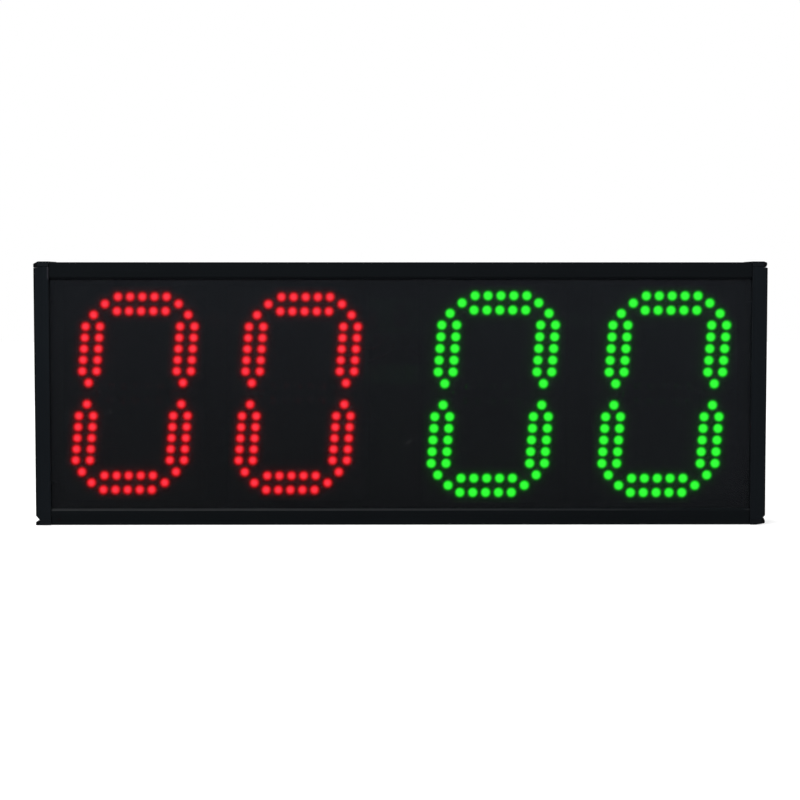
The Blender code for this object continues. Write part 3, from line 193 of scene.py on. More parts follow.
ROCKER_HALF_WIDTH = 0.0047
ROCKER_PIVOT_DEPTH = 0.0030
ROCKER_TILT = math.radians(12)
ROCKER_DIP = 0.0032
ROCKER_END = 0.0046
ROCKER_ARC_STEPS = 28
ROCKER_EDGE = 0.0005
ROCKER_GAP = 0.0003
ROCKER_VALLEY = (0.0009, 0.0004)  # half width and roundness of the line where its two halves meet
MARK_RISE = 0.00015
MARK_BAR = (0.0003, 0.0012, 0.00025)  # half width, half length and corner
MARK_RING = (0.0013, 0.0008)  # outer and inner radius
MARK_SEGMENTS = 24
MARK_PLACE = 0.0029  # from the middle of the rocker along its face
JACK_PLATE_CORNER = 0.0030
JACK_RIM = ((0.0, 0.0030, 0.0005), (0.0002, 0.0028, 0.0002), (0.0006, 0.0025, 0.0))  # inset, corner, drop
JACK_PLATE_THICKNESS = 0.0020
JACK_BORE_RADIUS = 0.0032
JACK_BORE_DEPTH = 0.0090
JACK_BORE_FLARE = (0.0006, 0.0004)  # width and depth
JACK_PIN_RADIUS = 0.0010
JACK_PIN_LENGTH = 0.0080
JACK_PIN_TIP = 0.0006
JACK_BARREL_RADIUS = 0.0055
JACK_BARREL_LENGTH = 0.0130
JACK_LUG = (0.0018, 0.0025, 0.0035)  # half width, and rise of its lower and upper side
JACK_Z = 0.100
HINGE_RISE = 0.0098
HINGE_RADIUS = 0.0014
HINGE_PIN_RADIUS = 0.0007
HINGE_PIN_PLAY = 0.0002
HINGE_BEVEL = 0.0002
HINGE_KNUCKLE_HALF = 0.0028
HINGE_EAR_WIDTH = 0.0016
HINGE_EAR_GAP = 0.0003
HINGE_EAR_WALL = 0.0004
HINGE_ARC_STEPS = 10
COVER_RADIUS = 0.0065
COVER_THICKNESS = 0.0034
COVER_GAP = 0.0003
COVER_BEVEL = 0.0003
COVER_EDGE = 0.0009
COVER_GROOVE = ((0.0044, 0.0), (0.0041, 0.0004), (0.0034, 0.0004), (0.0031, 0.0))  # radius and depth
COVER_ARM_INSET = 0.0004
COVER_ARM_START = 0.005  # above the middle of the socket
COVER_ARM_DROP = 0.0006
HANDLE_RADIUS = 0.0060
HANDLE_REACH = 0.034
HANDLE_BEND = 0.014
HANDLE_BEND_STEPS = 14
GRIP_RADIUS = 0.0096
GRIP_INNER = 0.00605
GRIP_PITCH = 0.0040  # of its grooves
GRIP_GROOVE = ((0.0, 0.0), (0.0004, 0.0008), (0.0010, 0.0008), (0.0014, 0.0))  # place along and depth
GRIP_COLLAR = 0.0060  # least length of a smooth end
GRIP_EDGE = 0.0015

# Camera and light
CAMERA_PLACE = (-0.0148, -2.0, 0.2436)
CAMERA_AIM = (-0.0010, -0.025, 0.1257)
CAMERA_LENS = 89.03
SENSOR_WIDTH = 36.0
FRONT_LEVEL = 0.17  # of the world's light in front of the display
BACK_LEVEL = 0.64
LEVEL_TURN = (-0.6, 0.1)  # part of a direction along Y where the one gives way to the other
LIGHTS = {  # place, size and power
    "key": ((-0.45, -0.80, 1.25), (1.1, 0.5), 20.4),
    "fill": ((1.4, -1.5, 0.9), (0.8, 0.8), 7.7),
    "back_left": ((-1.1, 1.3, 1.1), (0.9, 0.9), 19.5),
    "back_right": ((1.3, 1.2, 0.7), (0.8, 0.8), 9.5),
}
LIGHT_AIM = (0.0, 0.0, 0.13)
FLOOR_GLOW = (0.62, 0.90)  # that makes the floor look white, near the board and far from it
FLOOR_FADE = (0.6, 2.5)
FLOOR_HALF = 6.0
FLOOR_GAP = 0.0002

# Textures
NOISE_RANGE = (0.3, 0.7)  # where most values of a noise lie
NOISE_ROUGHNESS = 0.55
EDGE_AGREEMENT = (0.98, 0.84)  # of true and rounded normals where an edge starts to show and is full


# Nodes


def feed(tree, socket, value):
    """Links an output to the socket, or sets the socket to a value."""
    if isinstance(value, bpy.types.NodeSocket):
        tree.links.new(value, socket)
    else:
        socket.default_value = value


class Nodes:
    """Builds one material's nodes. Most methods return the output socket of what they make."""

    def __init__(self, name):
        self.material = bpy.data.materials.new(name)
        self.material.use_nodes = True
        self.tree = self.material.node_tree
        self.shader = self.tree.nodes["Principled BSDF"]
        self.output = self.tree.nodes["Material Output"]
        self.place = self.new("ShaderNodeTexCoord").outputs["Object"]

    def new(self, kind, **settings):
        node = self.tree.nodes.new(kind)
        for key, value in settings.items():
            setattr(node, key, value)
        return node

    def link(self, source, target):
        self.tree.links.new(source, target)

    def feed(self, socket, value):
        feed(self.tree, socket, value)

    def position(self, stretch=(1, 1, 1)):
        """The point on the piece in metres, with each axis scaled."""
        mapping = self.new("ShaderNodeMapping")
        mapping.inputs["Scale"].default_value = stretch
        self.link(self.place, mapping.inputs["Vector"])
        return mapping.outputs["Vector"]

    def axis(self, letter):
        split = self.new("ShaderNodeSeparateXYZ")
        self.link(self.place, split.inputs["Vector"])
        return split.outputs[letter]

    def texture(self, node, output, stretch=(1, 1, 1), **inputs):
        """Feeds a texture node the position and sets its inputs."""
        self.link(self.position(stretch), node.inputs["Vector"])
        for key, value in inputs.items():
            node.inputs[key].default_value = value
        return node.outputs[output]

    def noise(self, scale, detail=3.0, stretch=(1, 1, 1)):
        node = self.new("ShaderNodeTexNoise")
        return self.texture(node, "Fac", stretch, Scale=scale, Detail=detail, Roughness=NOISE_ROUGHNESS)

    def cells(self, scale):
        return self.texture(self.new("ShaderNodeTexVoronoi"), "Distance", Scale=scale)

    def wave(self, scale, axis):
        return self.texture(self.new("ShaderNodeTexWave", bands_direction=axis), "Fac", Scale=scale)

    def attribute(self, name):
        return self.new("ShaderNodeAttribute", attribute_name=name).outputs["Fac"]

    def maths(self, operation, a, b=0.0, clamp=False):
        node = self.new("ShaderNodeMath", operation=operation, use_clamp=clamp)
        self.feed(node.inputs[0], a)
        self.feed(node.inputs[1], b)
        return node.outputs[0]

    def times(self, *values):
        product = values[0]
        for value in values[1:]:
            product = self.maths("MULTIPLY", product, value)
        return product

    def spread(self, value, low, high, to_low=0.0, to_high=1.0):
        """Maps low..high to to_low..to_high, clamped."""
        node = self.new("ShaderNodeMapRange")
        self.feed(node.inputs["Value"], value)
        for key, limit in zip(("From Min", "From Max", "To Min", "To Max"), (low, high, to_low, to_high)):
            node.inputs[key].default_value = limit
        return node.outputs["Result"]

    def vary(self, noise, low, high):
        """Maps the values that most of a noise has to low..high."""
        return self.spread(noise, *NOISE_RANGE, low, high)

    def between(self, value, low, high, blur):
        """1 between low and high, falling to 0 within blur outside."""
        return self.times(self.spread(value, low - blur, low), self.spread(value, high + blur, high))

    def blend(self, share, first, second):
        """A colour between two colours."""
        node = self.new("ShaderNodeMix", data_type="RGBA")
        self.feed(node.inputs["Factor"], share)
        for socket, colour in ((node.inputs[6], first), (node.inputs[7], second)):
            self.feed(socket, colour if isinstance(colour, bpy.types.NodeSocket) else (*colour, 1.0))
        return node.outputs[2]

    def edges(self, radius):
        """1 along the edges of the piece and 0 away from them."""
        soft = self.new("ShaderNodeBevel", samples=4)
        soft.inputs["Radius"].default_value = radius
        true = self.new("ShaderNodeNewGeometry").outputs["Normal"]
        dot = self.new("ShaderNodeVectorMath", operation="DOT_PRODUCT")
        self.link(soft.outputs["Normal"], dot.inputs[0])
        self.link(true, dot.inputs[1])
        return self.spread(dot.outputs["Value"], *EDGE_AGREEMENT)

    def rough(self, pattern, low, high, specular):
        """Sets a roughness that follows a noise, and the strength of the mirror image."""
        self.set(Roughness=self.vary(pattern, low, high), Specular_IOR_Level=specular)

    def colour(self):
        """What feeds the base colour so far."""
        return self.shader.inputs["Base Color"].links[0].from_socket

    def bump(self, height, strength, distance):
        node = self.new("ShaderNodeBump")
        node.inputs["Strength"].default_value = strength
        node.inputs["Distance"].default_value = distance
        self.link(height, node.inputs["Height"])
        self.link(node.outputs["Normal"], self.shader.inputs["Normal"])

    def set(self, **values):
        """Sets inputs of the shader. Underscores in a key stand for spaces."""
        for key, value in values.items():
            if isinstance(value, tuple):
                value = (*value, 1.0)
            self.feed(self.shader.inputs[key.replace("_", " ")], value)


def shade(colour, factor):
    return tuple(channel * factor for channel in colour)


# Materials


def anodised(name, along, colour, worn, specular=0.02):
    """Dark anodised aluminium with fine lines along one axis and rubbed edges."""
    nt = Nodes(name)
    stretch = [1100.0, 1100.0, 1100.0]
    stretch["XYZ".index(along)] = 10.0
    lines = nt.noise(1.0, 3.0, tuple(stretch))
    clouds = nt.noise(11.0, 4.0)
    base = nt.blend(nt.times(lines, nt.vary(clouds, 0.7, 1.2)), shade(colour, 0.82), shade(colour, 1.3))
    rubbed = nt.times(nt.edges(0.0007), nt.spread(nt.noise(70.0, 4.0), 0.42, 0.62), 0.55)
    nt.set(Base_Color=nt.blend(rubbed, base, worn), Specular_IOR_Level=specular)
    nt.set(Roughness=nt.vary(lines, 0.30, 0.42))
    nt.bump(lines, 0.10, 0.0001)
    return nt


def rail_metal():
    """The rails. The bottom rail's lip has a painted highlight along its top edge, and the top rail's lip has
    painted shade along its lower edge.
    """
    nt = anodised("anodised_rail", "X", (0.0041, 0.0052, 0.0062), (0.019, 0.021, 0.023))
    base = nt.colour()
    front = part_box("top_rail")[0].y
    upper_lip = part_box("top_rail")[1].z - LIP_HEIGHT
    on_lip = nt.spread(nt.axis("Y"), front + 0.0018, front + 0.0015)
    along = nt.axis("X")
    height = nt.axis("Z")
    # Painted shade along the lower edge of the top rail's lip and the lower half of its bevel.
    painted_lip_shade = nt.times(on_lip, nt.between(height, upper_lip - 0.0005, upper_lip + LIP_BEVEL / 2, 0.0004))
    # Painted highlight along the top edge of the bottom rail's lip, fading out to the right and showing again
    # next to the right side profile.
    painted_lip_highlight = nt.times(
        on_lip,
        nt.between(height, LIP_HEIGHT - 0.0020, LIP_HEIGHT - 0.0010, 0.0003),
        nt.maths("MAXIMUM", nt.spread(along, PAINTED_HIGHLIGHT_END[1], PAINTED_HIGHLIGHT_END[0]),
                 nt.spread(along, PAINTED_HIGHLIGHT_AGAIN, PAINTED_HIGHLIGHT_AGAIN + 0.004, 0.0, 0.7)),
        nt.vary(nt.noise(30.0, 2.0), 0.75, 1.0),
    )
    base = nt.blend(painted_lip_shade, base, (0.0030, 0.0038, 0.0052))
    nt.set(Base_Color=nt.blend(painted_lip_highlight, base, (0.0165, 0.0178, 0.0190)))
    return nt


def upright_metal():
    """The side profiles, with painted shade along the outer edges of their fronts, a painted highlight beside
    the top rail on the left one, and painted highlights on both upper ends.
    """
    nt = anodised("anodised_upright", "Z", (0.0057, 0.0073, 0.0091), (0.023, 0.026, 0.029))
    base = nt.colour()
    low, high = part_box("left_side_profile")
    rail_low, rail_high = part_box("top_rail")
    across = nt.axis("X")
    on_front = nt.spread(nt.axis("Y"), low.y + 0.0010, low.y + 0.0008)
    outer = nt.spread(nt.maths("ABSOLUTE", across), -low.x - 0.0017, -low.x - 0.0013)
    # Painted highlight along the inner edge of the left side profile, beside the top rail.
    painted_inner_edge_highlight = nt.times(
        nt.between(across, high.x - 0.0012, high.x, 0.0005),
        nt.between(nt.axis("Z"), rail_low.z, rail_high.z, 0.0005),
        nt.spread(nt.noise(240.0, 3.0), 0.30, 0.62, 0.5, 1.0),
    )
    # Painted highlight on the upper ends of both side profiles, towards their outer sides.
    painted_end_highlight = nt.times(
        nt.between(nt.axis("Z"), high.z - PAINTED_END_HIGHLIGHT[0], high.z, 0.0004),
        nt.spread(nt.maths("ABSOLUTE", across), -low.x - PAINTED_END_HIGHLIGHT[1], -low.x - PAINTED_END_HIGHLIGHT[1] / 2),
    )
    # Painted shade along the outer edge of each side profile's front face.
    base = nt.blend(nt.times(on_front, outer, 0.8), base, (0.0014, 0.0017, 0.0021))
    base = nt.blend(painted_inner_edge_highlight, base, (0.023, 0.023, 0.028))
    nt.set(Base_Color=nt.blend(painted_end_highlight, base, (0.034, 0.035, 0.037)))
    return nt


def cap_plastic():
    """The corner caps, whose ears are darker than what is flush with the profiles."""
    nt = moulded_plastic("black_moulded_plastic", (0.0057, 0.0070, 0.0086), specular=0.03)
    base = nt.colour()
    outer_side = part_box("right_side_profile")[1].x
    ear_start = outer_side - EAR_WIDTH
    ear = nt.spread(nt.maths("ABSOLUTE", nt.axis("X")), ear_start, ear_start + 0.0006)
    nt.set(Base_Color=nt.blend(nt.times(ear, 0.85), base, (0.0012, 0.0013, 0.0015)))
    return nt


def moulded_plastic(name, colour, roughness=(0.45, 0.6), grain=0.0011, specular=0.08):
    """Plastic with the fine grain of its mould and slightly paler edges."""
    nt = Nodes(name)
    grains = nt.noise(1 / grain, 2.0)
    clouds = nt.noise(40.0, 3.0)
    base = nt.blend(clouds, shade(colour, 0.85), shade(colour, 1.2))
    nt.set(Base_Color=nt.blend(nt.times(nt.edges(0.0005), 0.35), base, shade(colour, 2.2)))
    nt.rough(grains, *roughness, specular)
    nt.bump(grains, 0.18, grain * 0.3)
    return nt


def powder_coat():
    """Black powder coat with slight orange peel, scuffed along its edges and by handling."""
    nt = Nodes("black_powder_coat")
    peel = nt.noise(520.0, 1.5)
    fleck = nt.noise(2600.0, 1.0)
    clouds = nt.noise(9.0, 4.0)
    base = nt.blend(clouds, (0.0100, 0.0108, 0.0118), (0.0160, 0.0168, 0.0180))
    scratches = nt.spread(nt.noise(1.0, 3.0, (26.0, 26.0, 420.0)), 0.66, 0.74)
    scuffs = nt.times(scratches, nt.spread(nt.noise(7.0, 2.0), 0.52, 0.70), 0.35)
    base = nt.blend(scuffs, base, (0.045, 0.046, 0.048))
    nt.set(Base_Color=nt.blend(nt.times(nt.edges(0.0006), 0.5), base, (0.05, 0.051, 0.053)))
    nt.rough(fleck, 0.42, 0.58, 0.16)
    nt.bump(peel, 0.35, 0.0005)
    return nt


def smoked_window():
    """Smoked acrylic with painted light that makes it paler to the upper right, a painted shadow of the top
    rail's lip along its top, dust and fine scratches.
    """
    nt = Nodes("smoked_acrylic")
    low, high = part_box("front_window")
    # Painted light: the body is paler towards the top and towards the right.
    rise = nt.spread(nt.axis("Z"), low.z + 0.02, high.z - 0.02, 0.1, 0.8)
    rise = nt.maths("ADD", rise, nt.spread(nt.axis("X"), 0.05, high.x, 0.0, 0.4))
    clouds = nt.maths("ADD", rise, nt.vary(nt.noise(3.5, 3.0), -0.15, 0.15))
    dust = nt.spread(nt.cells(60.0), 0.045, 0.03)
    rare = nt.spread(nt.noise(19.0, 1.0), 0.64, 0.70)
    hair = nt.spread(nt.noise(1.0, 2.0, (55.0, 55.0, 900.0)), 0.70, 0.78)
    marks = nt.times(hair, nt.spread(nt.noise(5.0, 2.0), 0.50, 0.66), 0.4)
    specks = nt.maths("ADD", nt.times(dust, rare), marks, clamp=True)
    for x, z, length, width, turn, strength in WINDOW_MARKS:
        mapping = nt.new("ShaderNodeMapping", vector_type="TEXTURE")
        mapping.inputs["Location"].default_value = (x, 0.0, z)
        mapping.inputs["Rotation"].default_value = (0.0, -math.radians(turn), 0.0)
        mapping.inputs["Scale"].default_value = (length / 2, 1.0, width / 2)
        nt.link(nt.place, mapping.inputs["Vector"])
        away = nt.new("ShaderNodeVectorMath", operation="LENGTH")
        nt.link(mapping.outputs["Vector"], away.inputs[0])
        specks = nt.maths("MAXIMUM", specks, nt.spread(away.outputs["Value"], 1.2, 0.6, 0.0, strength))
    body = nt.blend(clouds, (0.0067, 0.0076, 0.0088), (0.0100, 0.0116, 0.0144))
    upper_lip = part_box("top_rail")[1].z - LIP_HEIGHT
    # Painted shadow of the top rail's lip: a dark band on the window just below the lip.
    painted_lip_shadow = nt.spread(nt.axis("Z"), upper_lip - 0.0016, upper_lip - 0.0008)
    body = nt.blend(painted_lip_shadow, body, (0.0026, 0.0032, 0.0044))
    nt.set(Base_Color=nt.blend(specks, body, (0.038, 0.040, 0.042)), Alpha=WINDOW_COVER)
    nt.rough(nt.noise(160.0, 2.0), 0.26, 0.34, 0.05)
    nt.bump(nt.noise(30.0, 2.0), 0.02, 0.0005)
    return nt


def bare_metal(name, colour, roughness=(0.24, 0.4)):
    """Metal with a slightly clouded colour and an uneven polish."""
    nt = Nodes(name)
    fine = nt.noise(900.0)
    clouds = nt.noise(120.0, 4.0)
    nt.set(Base_Color=nt.blend(clouds, shade(colour, 0.78), colour), Metallic=1.0)
    nt.set(Roughness=nt.vary(fine, *roughness))
    nt.bump(fine, 0.08, 0.0001)
    return nt


def rubber():
    """Matt black rubber, dusty in patches."""
    nt = Nodes("black_rubber")
    grains = nt.noise(1500.0, 2.0)
    clouds = nt.noise(60.0, 4.0)
    dust = nt.spread(nt.noise(25.0, 5.0), 0.55, 0.75, 0.0, 0.5)
    base = nt.blend(clouds, (0.0150, 0.0150, 0.0153), (0.0240, 0.0237, 0.0233))
    nt.set(Base_Color=nt.blend(dust, base, (0.044, 0.043, 0.041)))
    nt.rough(grains, 0.62, 0.82, 0.2)
    nt.bump(grains, 0.3, 0.0003)
    return nt


def circuit_board(name, mask, track, contrast, face=None):
    """Solder mask over groups of straight copper tracks. What stands before the face is black plastic."""
    nt = Nodes(name)
    turned = nt.spread(nt.noise(38.0, 1.0, (1.0, 0.01, 1.0)), 0.49, 0.51)
    across = nt.times(nt.wave(TRACK_BANDS, "Z"), turned)
    upright = nt.times(nt.wave(TRACK_BANDS, "X"), nt.maths("SUBTRACT", 1.0, turned))
    on_track = nt.spread(nt.maths("ADD", across, upright), 0.66, 0.78)
    speckle = nt.noise(700.0, 2.0)
    base = nt.blend(nt.times(on_track, contrast), mask, track)
    if face:
        base = nt.blend(nt.spread(nt.axis("Y"), face - 0.0001, face - 0.0002), base, (0.013, 0.013, 0.014))
    nt.set(Base_Color=base)
    nt.rough(speckle, 0.30, 0.45, 0.25)
    nt.bump(on_track, 0.2, 0.0001)
    return nt


def lamp_epoxy(name, glow, strength):
    """Diffused epoxy that glows from its core."""
    nt = Nodes(name)
    colour = tuple(0.10 * channel + 0.004 for channel in glow)
    fine = nt.noise(1200.0, 2.0)
    nt.set(Base_Color=nt.blend(fine, shade(colour, 0.8), shade(colour, 1.1)))
    nt.rough(fine, 0.15, 0.28, 0.3)
    if strength:
        nt.set(Emission_Color=glow, Emission_Strength=nt.times(nt.attribute("core"), strength))
        nt.material.cycles.emission_sampling = "NONE"
    return nt


def lit_film(name, rim, middle, focus):
    """A film that glows by its glow attribute and is clear where that is zero."""
    nt = Nodes(name)
    glow = nt.attribute("glow")
    clear = nt.new("ShaderNodeBsdfTransparent")
    light = nt.new("ShaderNodeEmission")
    nt.link(nt.blend(nt.maths("POWER", glow, focus), rim, middle), light.inputs["Color"])
    light.inputs["Strength"].default_value = FILM_STRENGTH
    mix = nt.new("ShaderNodeMixShader")
    nt.link(glow, mix.inputs["Fac"])
    nt.link(clear.outputs[0], mix.inputs[1])
    nt.link(light.outputs[0], mix.inputs[2])
    nt.link(mix.outputs[0], nt.output.inputs["Surface"])
    nt.tree.nodes.remove(nt.shader)
    nt.material.cycles.emission_sampling = "NONE"
    return nt


def ribbon_cable():
    nt = Nodes("grey_ribbon_cable")
    ribs = nt.wave(CABLE_BANDS, "Z")
    nt.set(Base_Color=nt.blend(ribs, (0.020, 0.021, 0.023), (0.045, 0.046, 0.050)))
    nt.rough(nt.noise(400.0, 2.0), 0.4, 0.55, 0.2)
    nt.bump(ribs, 0.5, 0.0004)
    return nt


def cell_sleeve():
    """Blue shrunk sleeve, wrinkled along the cells."""
    nt = Nodes("blue_cell_sleeve")
    wrinkles = nt.noise(1.0, 3.0, (260.0, 260.0, 60.0))
    nt.set(Base_Color=nt.blend(wrinkles, (0.012, 0.05, 0.16), (0.025, 0.09, 0.26)))
    nt.rough(wrinkles, 0.18, 0.32, 0.4)
    nt.bump(wrinkles, 0.3, 0.0006)
    return nt


def make_materials():
    black = ((0.0045, 0.005, 0.0052), (0.009, 0.010, 0.0105), 0.5)
    green = ((0.008, 0.06, 0.022), (0.02, 0.12, 0.045), 1.0)
    controller_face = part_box("controller_board")[1].y - BOARD_THICKNESS
    materials = {
        "rail": rail_metal(),
        "upright": upright_metal(),
        "handle": anodised("satin_handle", "Z", (0.016, 0.0165, 0.0175), (0.055, 0.056, 0.059), 0.35),
        "cap": cap_plastic(),
        "window": smoked_window(),
        "panel": powder_coat(),
        "steel": bare_metal("zinc_plated_steel", (0.50, 0.51, 0.53)),
        "black_steel": bare_metal("black_steel", (0.035, 0.035, 0.037)),
        "nickel": bare_metal("nickel_plated_brass", (0.58, 0.57, 0.54), (0.16, 0.30)),
        "brass": bare_metal("tinned_brass", (0.50, 0.42, 0.24), (0.22, 0.34)),
        "button": moulded_plastic("grey_button_cap", (0.25, 0.26, 0.27), (0.35, 0.5), 0.0008, 0.35),
        "rocker": moulded_plastic("red_rocker", (0.42, 0.012, 0.014), (0.22, 0.34), 0.0015, 0.4),
        "mark": moulded_plastic("white_mark", (0.72, 0.72, 0.70), (0.4, 0.5), 0.0008, 0.3),
        "rubber": rubber(),
        "black_board": circuit_board("black_circuit_board", *black),
        "button_board": circuit_board("button_circuit_board", *green),
        "controller": circuit_board("controller_circuit_board", *green, controller_face),
        "black_plastic": moulded_plastic(
            "black_switch_plastic", (0.010, 0.0102, 0.0106), (0.4, 0.55), 0.0009, 0.2
        ),
        "solder": bare_metal("solder", (0.30, 0.30, 0.31), (0.25, 0.4)),
        "ribbon": ribbon_cable(),
        "sleeve": cell_sleeve(),
        "lead": moulded_plastic("lead_insulation", (0.018, 0.018, 0.020), (0.3, 0.45), 0.0006, 0.3),
    }
    for colour, (rim, middle, focus) in GLOWS.items():
        materials[f"{colour}_lamp"] = lamp_epoxy(f"{colour}_lamp", middle, LAMP_STRENGTH)
        materials[f"{colour}_unlit"] = lamp_epoxy(f"unlit_{colour}_lamp", middle, 0.0)
        materials[f"{colour}_film"] = lit_film(f"{colour}_lit_film", rim, middle, focus)
    return {kind: nt.material for kind, nt in materials.items()}


# Mesh helpers


def mesh_object(name, mesh, materials, smooth_angle=SHARP_ANGLE):
    data = bpy.data.meshes.new(name)
    bmesh.ops.recalc_face_normals(mesh, faces=mesh.faces)
    mesh.to_mesh(data)
    mesh.free()
    for material in materials:
        data.materials.append(material)
    if smooth_angle:
        data.shade_smooth()
        data.set_sharp_from_angle(angle=math.radians(smooth_angle))
    obj = bpy.data.objects.new(name, data)
    bpy.context.scene.collection.objects.link(obj)
    return obj


def settle(obj, body="case", replaces=()):
    """Ties a finished piece to its body and the nodes it stands for."""
    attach(obj, body)
    if replaces:
        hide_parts(*replaces)


def piece(name, mesh, materials, body="case", replaces=(), smooth_angle=SHARP_ANGLE):
    obj = mesh_object(name, mesh, materials, smooth_angle)
    settle(obj, body, replaces)
    return obj


def node_place(name):
    """The low and the high corner of a node's box, and where its middle lies across and up."""
    low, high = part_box(name)
    return low, high, ((low.x + high.x) / 2, (low.z + high.z) / 2)


def spot(axis, place, across, up, along):
    """A point given by its offsets from a line through place, and its distance along the line."""
    if axis == "Y":
        return (place[0] + across, along, place[1] + up)
    if axis == "Z":
        return (place[0] + across, place[1] + up, along)
    return (along, place[0] + across, place[1] + up)


def loft(mesh, layers, closed=False, material=0):
    """Adds a skin over layers with as many points each. Its ends are capped, or joined where it is closed."""
    rings = [[mesh.verts.new(point) for point in layer] for layer in layers]
    pairs = list(zip(rings, rings[1:]))
    if closed:
        pairs.append((rings[-1], rings[0]))
    for lower, upper in pairs:
        for i in range(len(lower)):
            j = (i + 1) % len(lower)
            mesh.faces.new((lower[i], lower[j], upper[j], upper[i])).material_index = material
    if not closed:
        for ring in (rings[0], rings[-1]):
            mesh.faces.new(ring).material_index = material
    return rings


def lathe(mesh, profile, place, segments=SMOOTH_SEGMENTS, closed=False, material=0, axis="Y"):
    """Adds a shape turned round a line. The profile lists (radius, distance along the line)."""
    angles = [2 * math.pi * i / segments for i in range(segments)]
    layers = [
        [spot(axis, place, radius * math.cos(a), radius * math.sin(a), along) for a in angles]
        for radius, along in profile
    ]
    return loft(mesh, layers, closed, material)


def lofted(layers):
    """A new mesh with a skin over layers."""
    mesh = bmesh.new()
    loft(mesh, layers)
    return mesh


def lathed(profile, place, segments=SMOOTH_SEGMENTS, **more):
    """A new mesh with a shape turned round a line."""
    mesh = bmesh.new()
    lathe(mesh, profile, place, segments, **more)
    return mesh


def arc(centre, radius, start, end, steps=ARC_STEPS):
    """Points of an arc, with its angles in degrees."""
    angles = [math.radians(start + (end - start) * i / steps) for i in range(steps + 1)]
    return [(centre[0] + radius * math.cos(a), centre[1] + radius * math.sin(a)) for a in angles]


def rounded(half_width, half_height, corner, centre=(0.0, 0.0)):
    """The outline of a rectangle with round corners."""
    outline = []
    for quarter, (across, up) in enumerate(((1, 1), (-1, 1), (-1, -1), (1, -1))):
        middle = (centre[0] + across * (half_width - corner), centre[1] + up * (half_height - corner))
        outline += arc(middle, corner, 90 * quarter, 90 * quarter + 90)
    return outline


def slab(mesh, layers, centre, material=0):
    """Adds a block of rounded rectangles. A layer is (half width, half height, corner, y)."""
    points = [
        [(x, y, z) for x, z in rounded(half_width, half_height, corner, centre)]
        for half_width, half_height, corner, y in layers
    ]
    return loft(mesh, points, material=material)


def soft_box(mesh, low, high, edge, material=0):
    """Adds a box whose edges along Y are rounded and whose front and back edges are chamfered."""
    centre = ((low[0] + high[0]) / 2, (low[2] + high[2]) / 2)
    half_width = (high[0] - low[0]) / 2
    half_height = (high[2] - low[2]) / 2
    layers = [
        (half_width - edge, half_height - edge, edge, low[1]),
        (half_width, half_height, edge, low[1] + edge),
        (half_width, half_height, edge, high[1] - edge),
        (half_width - edge, half_height - edge, edge, high[1]),
    ]
    slab(mesh, layers, centre, material)


def rim_layers(half, rim, face):
    """Layers of a slab that round the outer edge of its face. A row of the rim is (inset, corner, drop)."""
    return [(half[0] - inset, half[1] - inset, corner, face - drop) for inset, corner, drop in rim]


def thread(radius, start, turns):
    """Rings of grooves and ridges that look like a thread, going down from start."""
    profile = []
    for i in range(1, turns + 1):
        along = start - i * THREAD_PITCH
        profile += [(radius - THREAD_DEPTH, along), (radius, along - THREAD_PITCH / 2)]
    return profile


def combine(target, operation, mesh):
    """Applies a Boolean of the target with the mesh."""
    other = mesh_object("tool", mesh, [], None)
    modifier = target.modifiers.new("combine", "BOOLEAN")
    modifier.operation = operation
    modifier.object = other
    bpy.context.view_layer.update()
    shape = bpy.data.meshes.new_from_object(target.evaluated_get(bpy.context.evaluated_depsgraph_get()))
    target.modifiers.clear()
    old = target.data
    target.data = shape
    shape.shade_smooth()
    shape.set_sharp_from_angle(angle=math.radians(SHARP_ANGLE))
    bpy.data.meshes.remove(old)
    bpy.data.objects.remove(other)


def soften(obj, width):
    """Rounds the sharp edges of a piece or of a node that is carried over."""
    modifier = obj.modifiers.new("soft_edges", "BEVEL")
    modifier.width = width
    modifier.segments = 2
    modifier.limit_method = "ANGLE"
    modifier.angle_limit = math.radians(SHARP_ANGLE)


# Corner caps


def build_corner_cap(corner, ear, material):
    """A cap whose ear overhangs the chamfered end of the side profile, with its leg and arm inside."""
    node = f"{corner}_corner_cap"
    low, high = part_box(node)
    side = -1 if "left" in corner else 1
    inward = 1 if "bottom" in corner else -1
    outer = low.x if side < 0 else high.x
    end = low.z if inward > 0 else high.z
    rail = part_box(corner.split("_")[0] + "_rail")
    rail_end = rail[0].z if inward > 0 else rail[1].z
    arm_start = abs(rail_end - end) + CAP_ARM_START

    def prism(outline, depth):
        places = [(outer - side * inset, end + inward * rise) for inset, rise in outline]
        return lofted([[(x, y, z) for x, z in places] for y in depth])

    flange = [(SIDE_FACE, 0.0), *ear, (CAP_LEG[0], CAP_THICKNESS), (SIDE_FACE, CAP_THICKNESS)]
    cap = mesh_object(f"{corner}_cap", prism(flange, (low.y, high.y)), [material])
    inside = [
        (CAP_LEG[0], CAP_THICKNESS - CAP_OVERLAP),
        (CAP_LEG[0], CAP_LEG[2]),
        (CAP_LEG[1], CAP_LEG[2]),
        (CAP_LEG[1], arm_start + CAP_ARM_HEIGHT),
        (CAP_ARM_LENGTH, arm_start + CAP_ARM_HEIGHT),
        (CAP_ARM_LENGTH, arm_start),
        (SIDE_FACE - CAP_OVERLAP, arm_start),
        (SIDE_FACE - CAP_OVERLAP, CAP_THICKNESS - CAP_OVERLAP),
    ]
    combine(cap, "UNION", prism(inside, CAP_ARM_DEPTH))
    place = (outer - side * CAP_SCREW_PLACE[0], end + inward * CAP_SCREW_PLACE[1])
    hole = [(CAP_SCREW_RADIUS, CAP_SCREW_START), (CAP_SCREW_RADIUS, CAP_ARM_DEPTH[1] + CUT_MARGIN)]
    combine(cap, "DIFFERENCE", lathed(hole, place, HOLE_SEGMENTS))
    soften(cap, FRAME_EDGE)
    settle(cap, replaces=[node])


# Digits


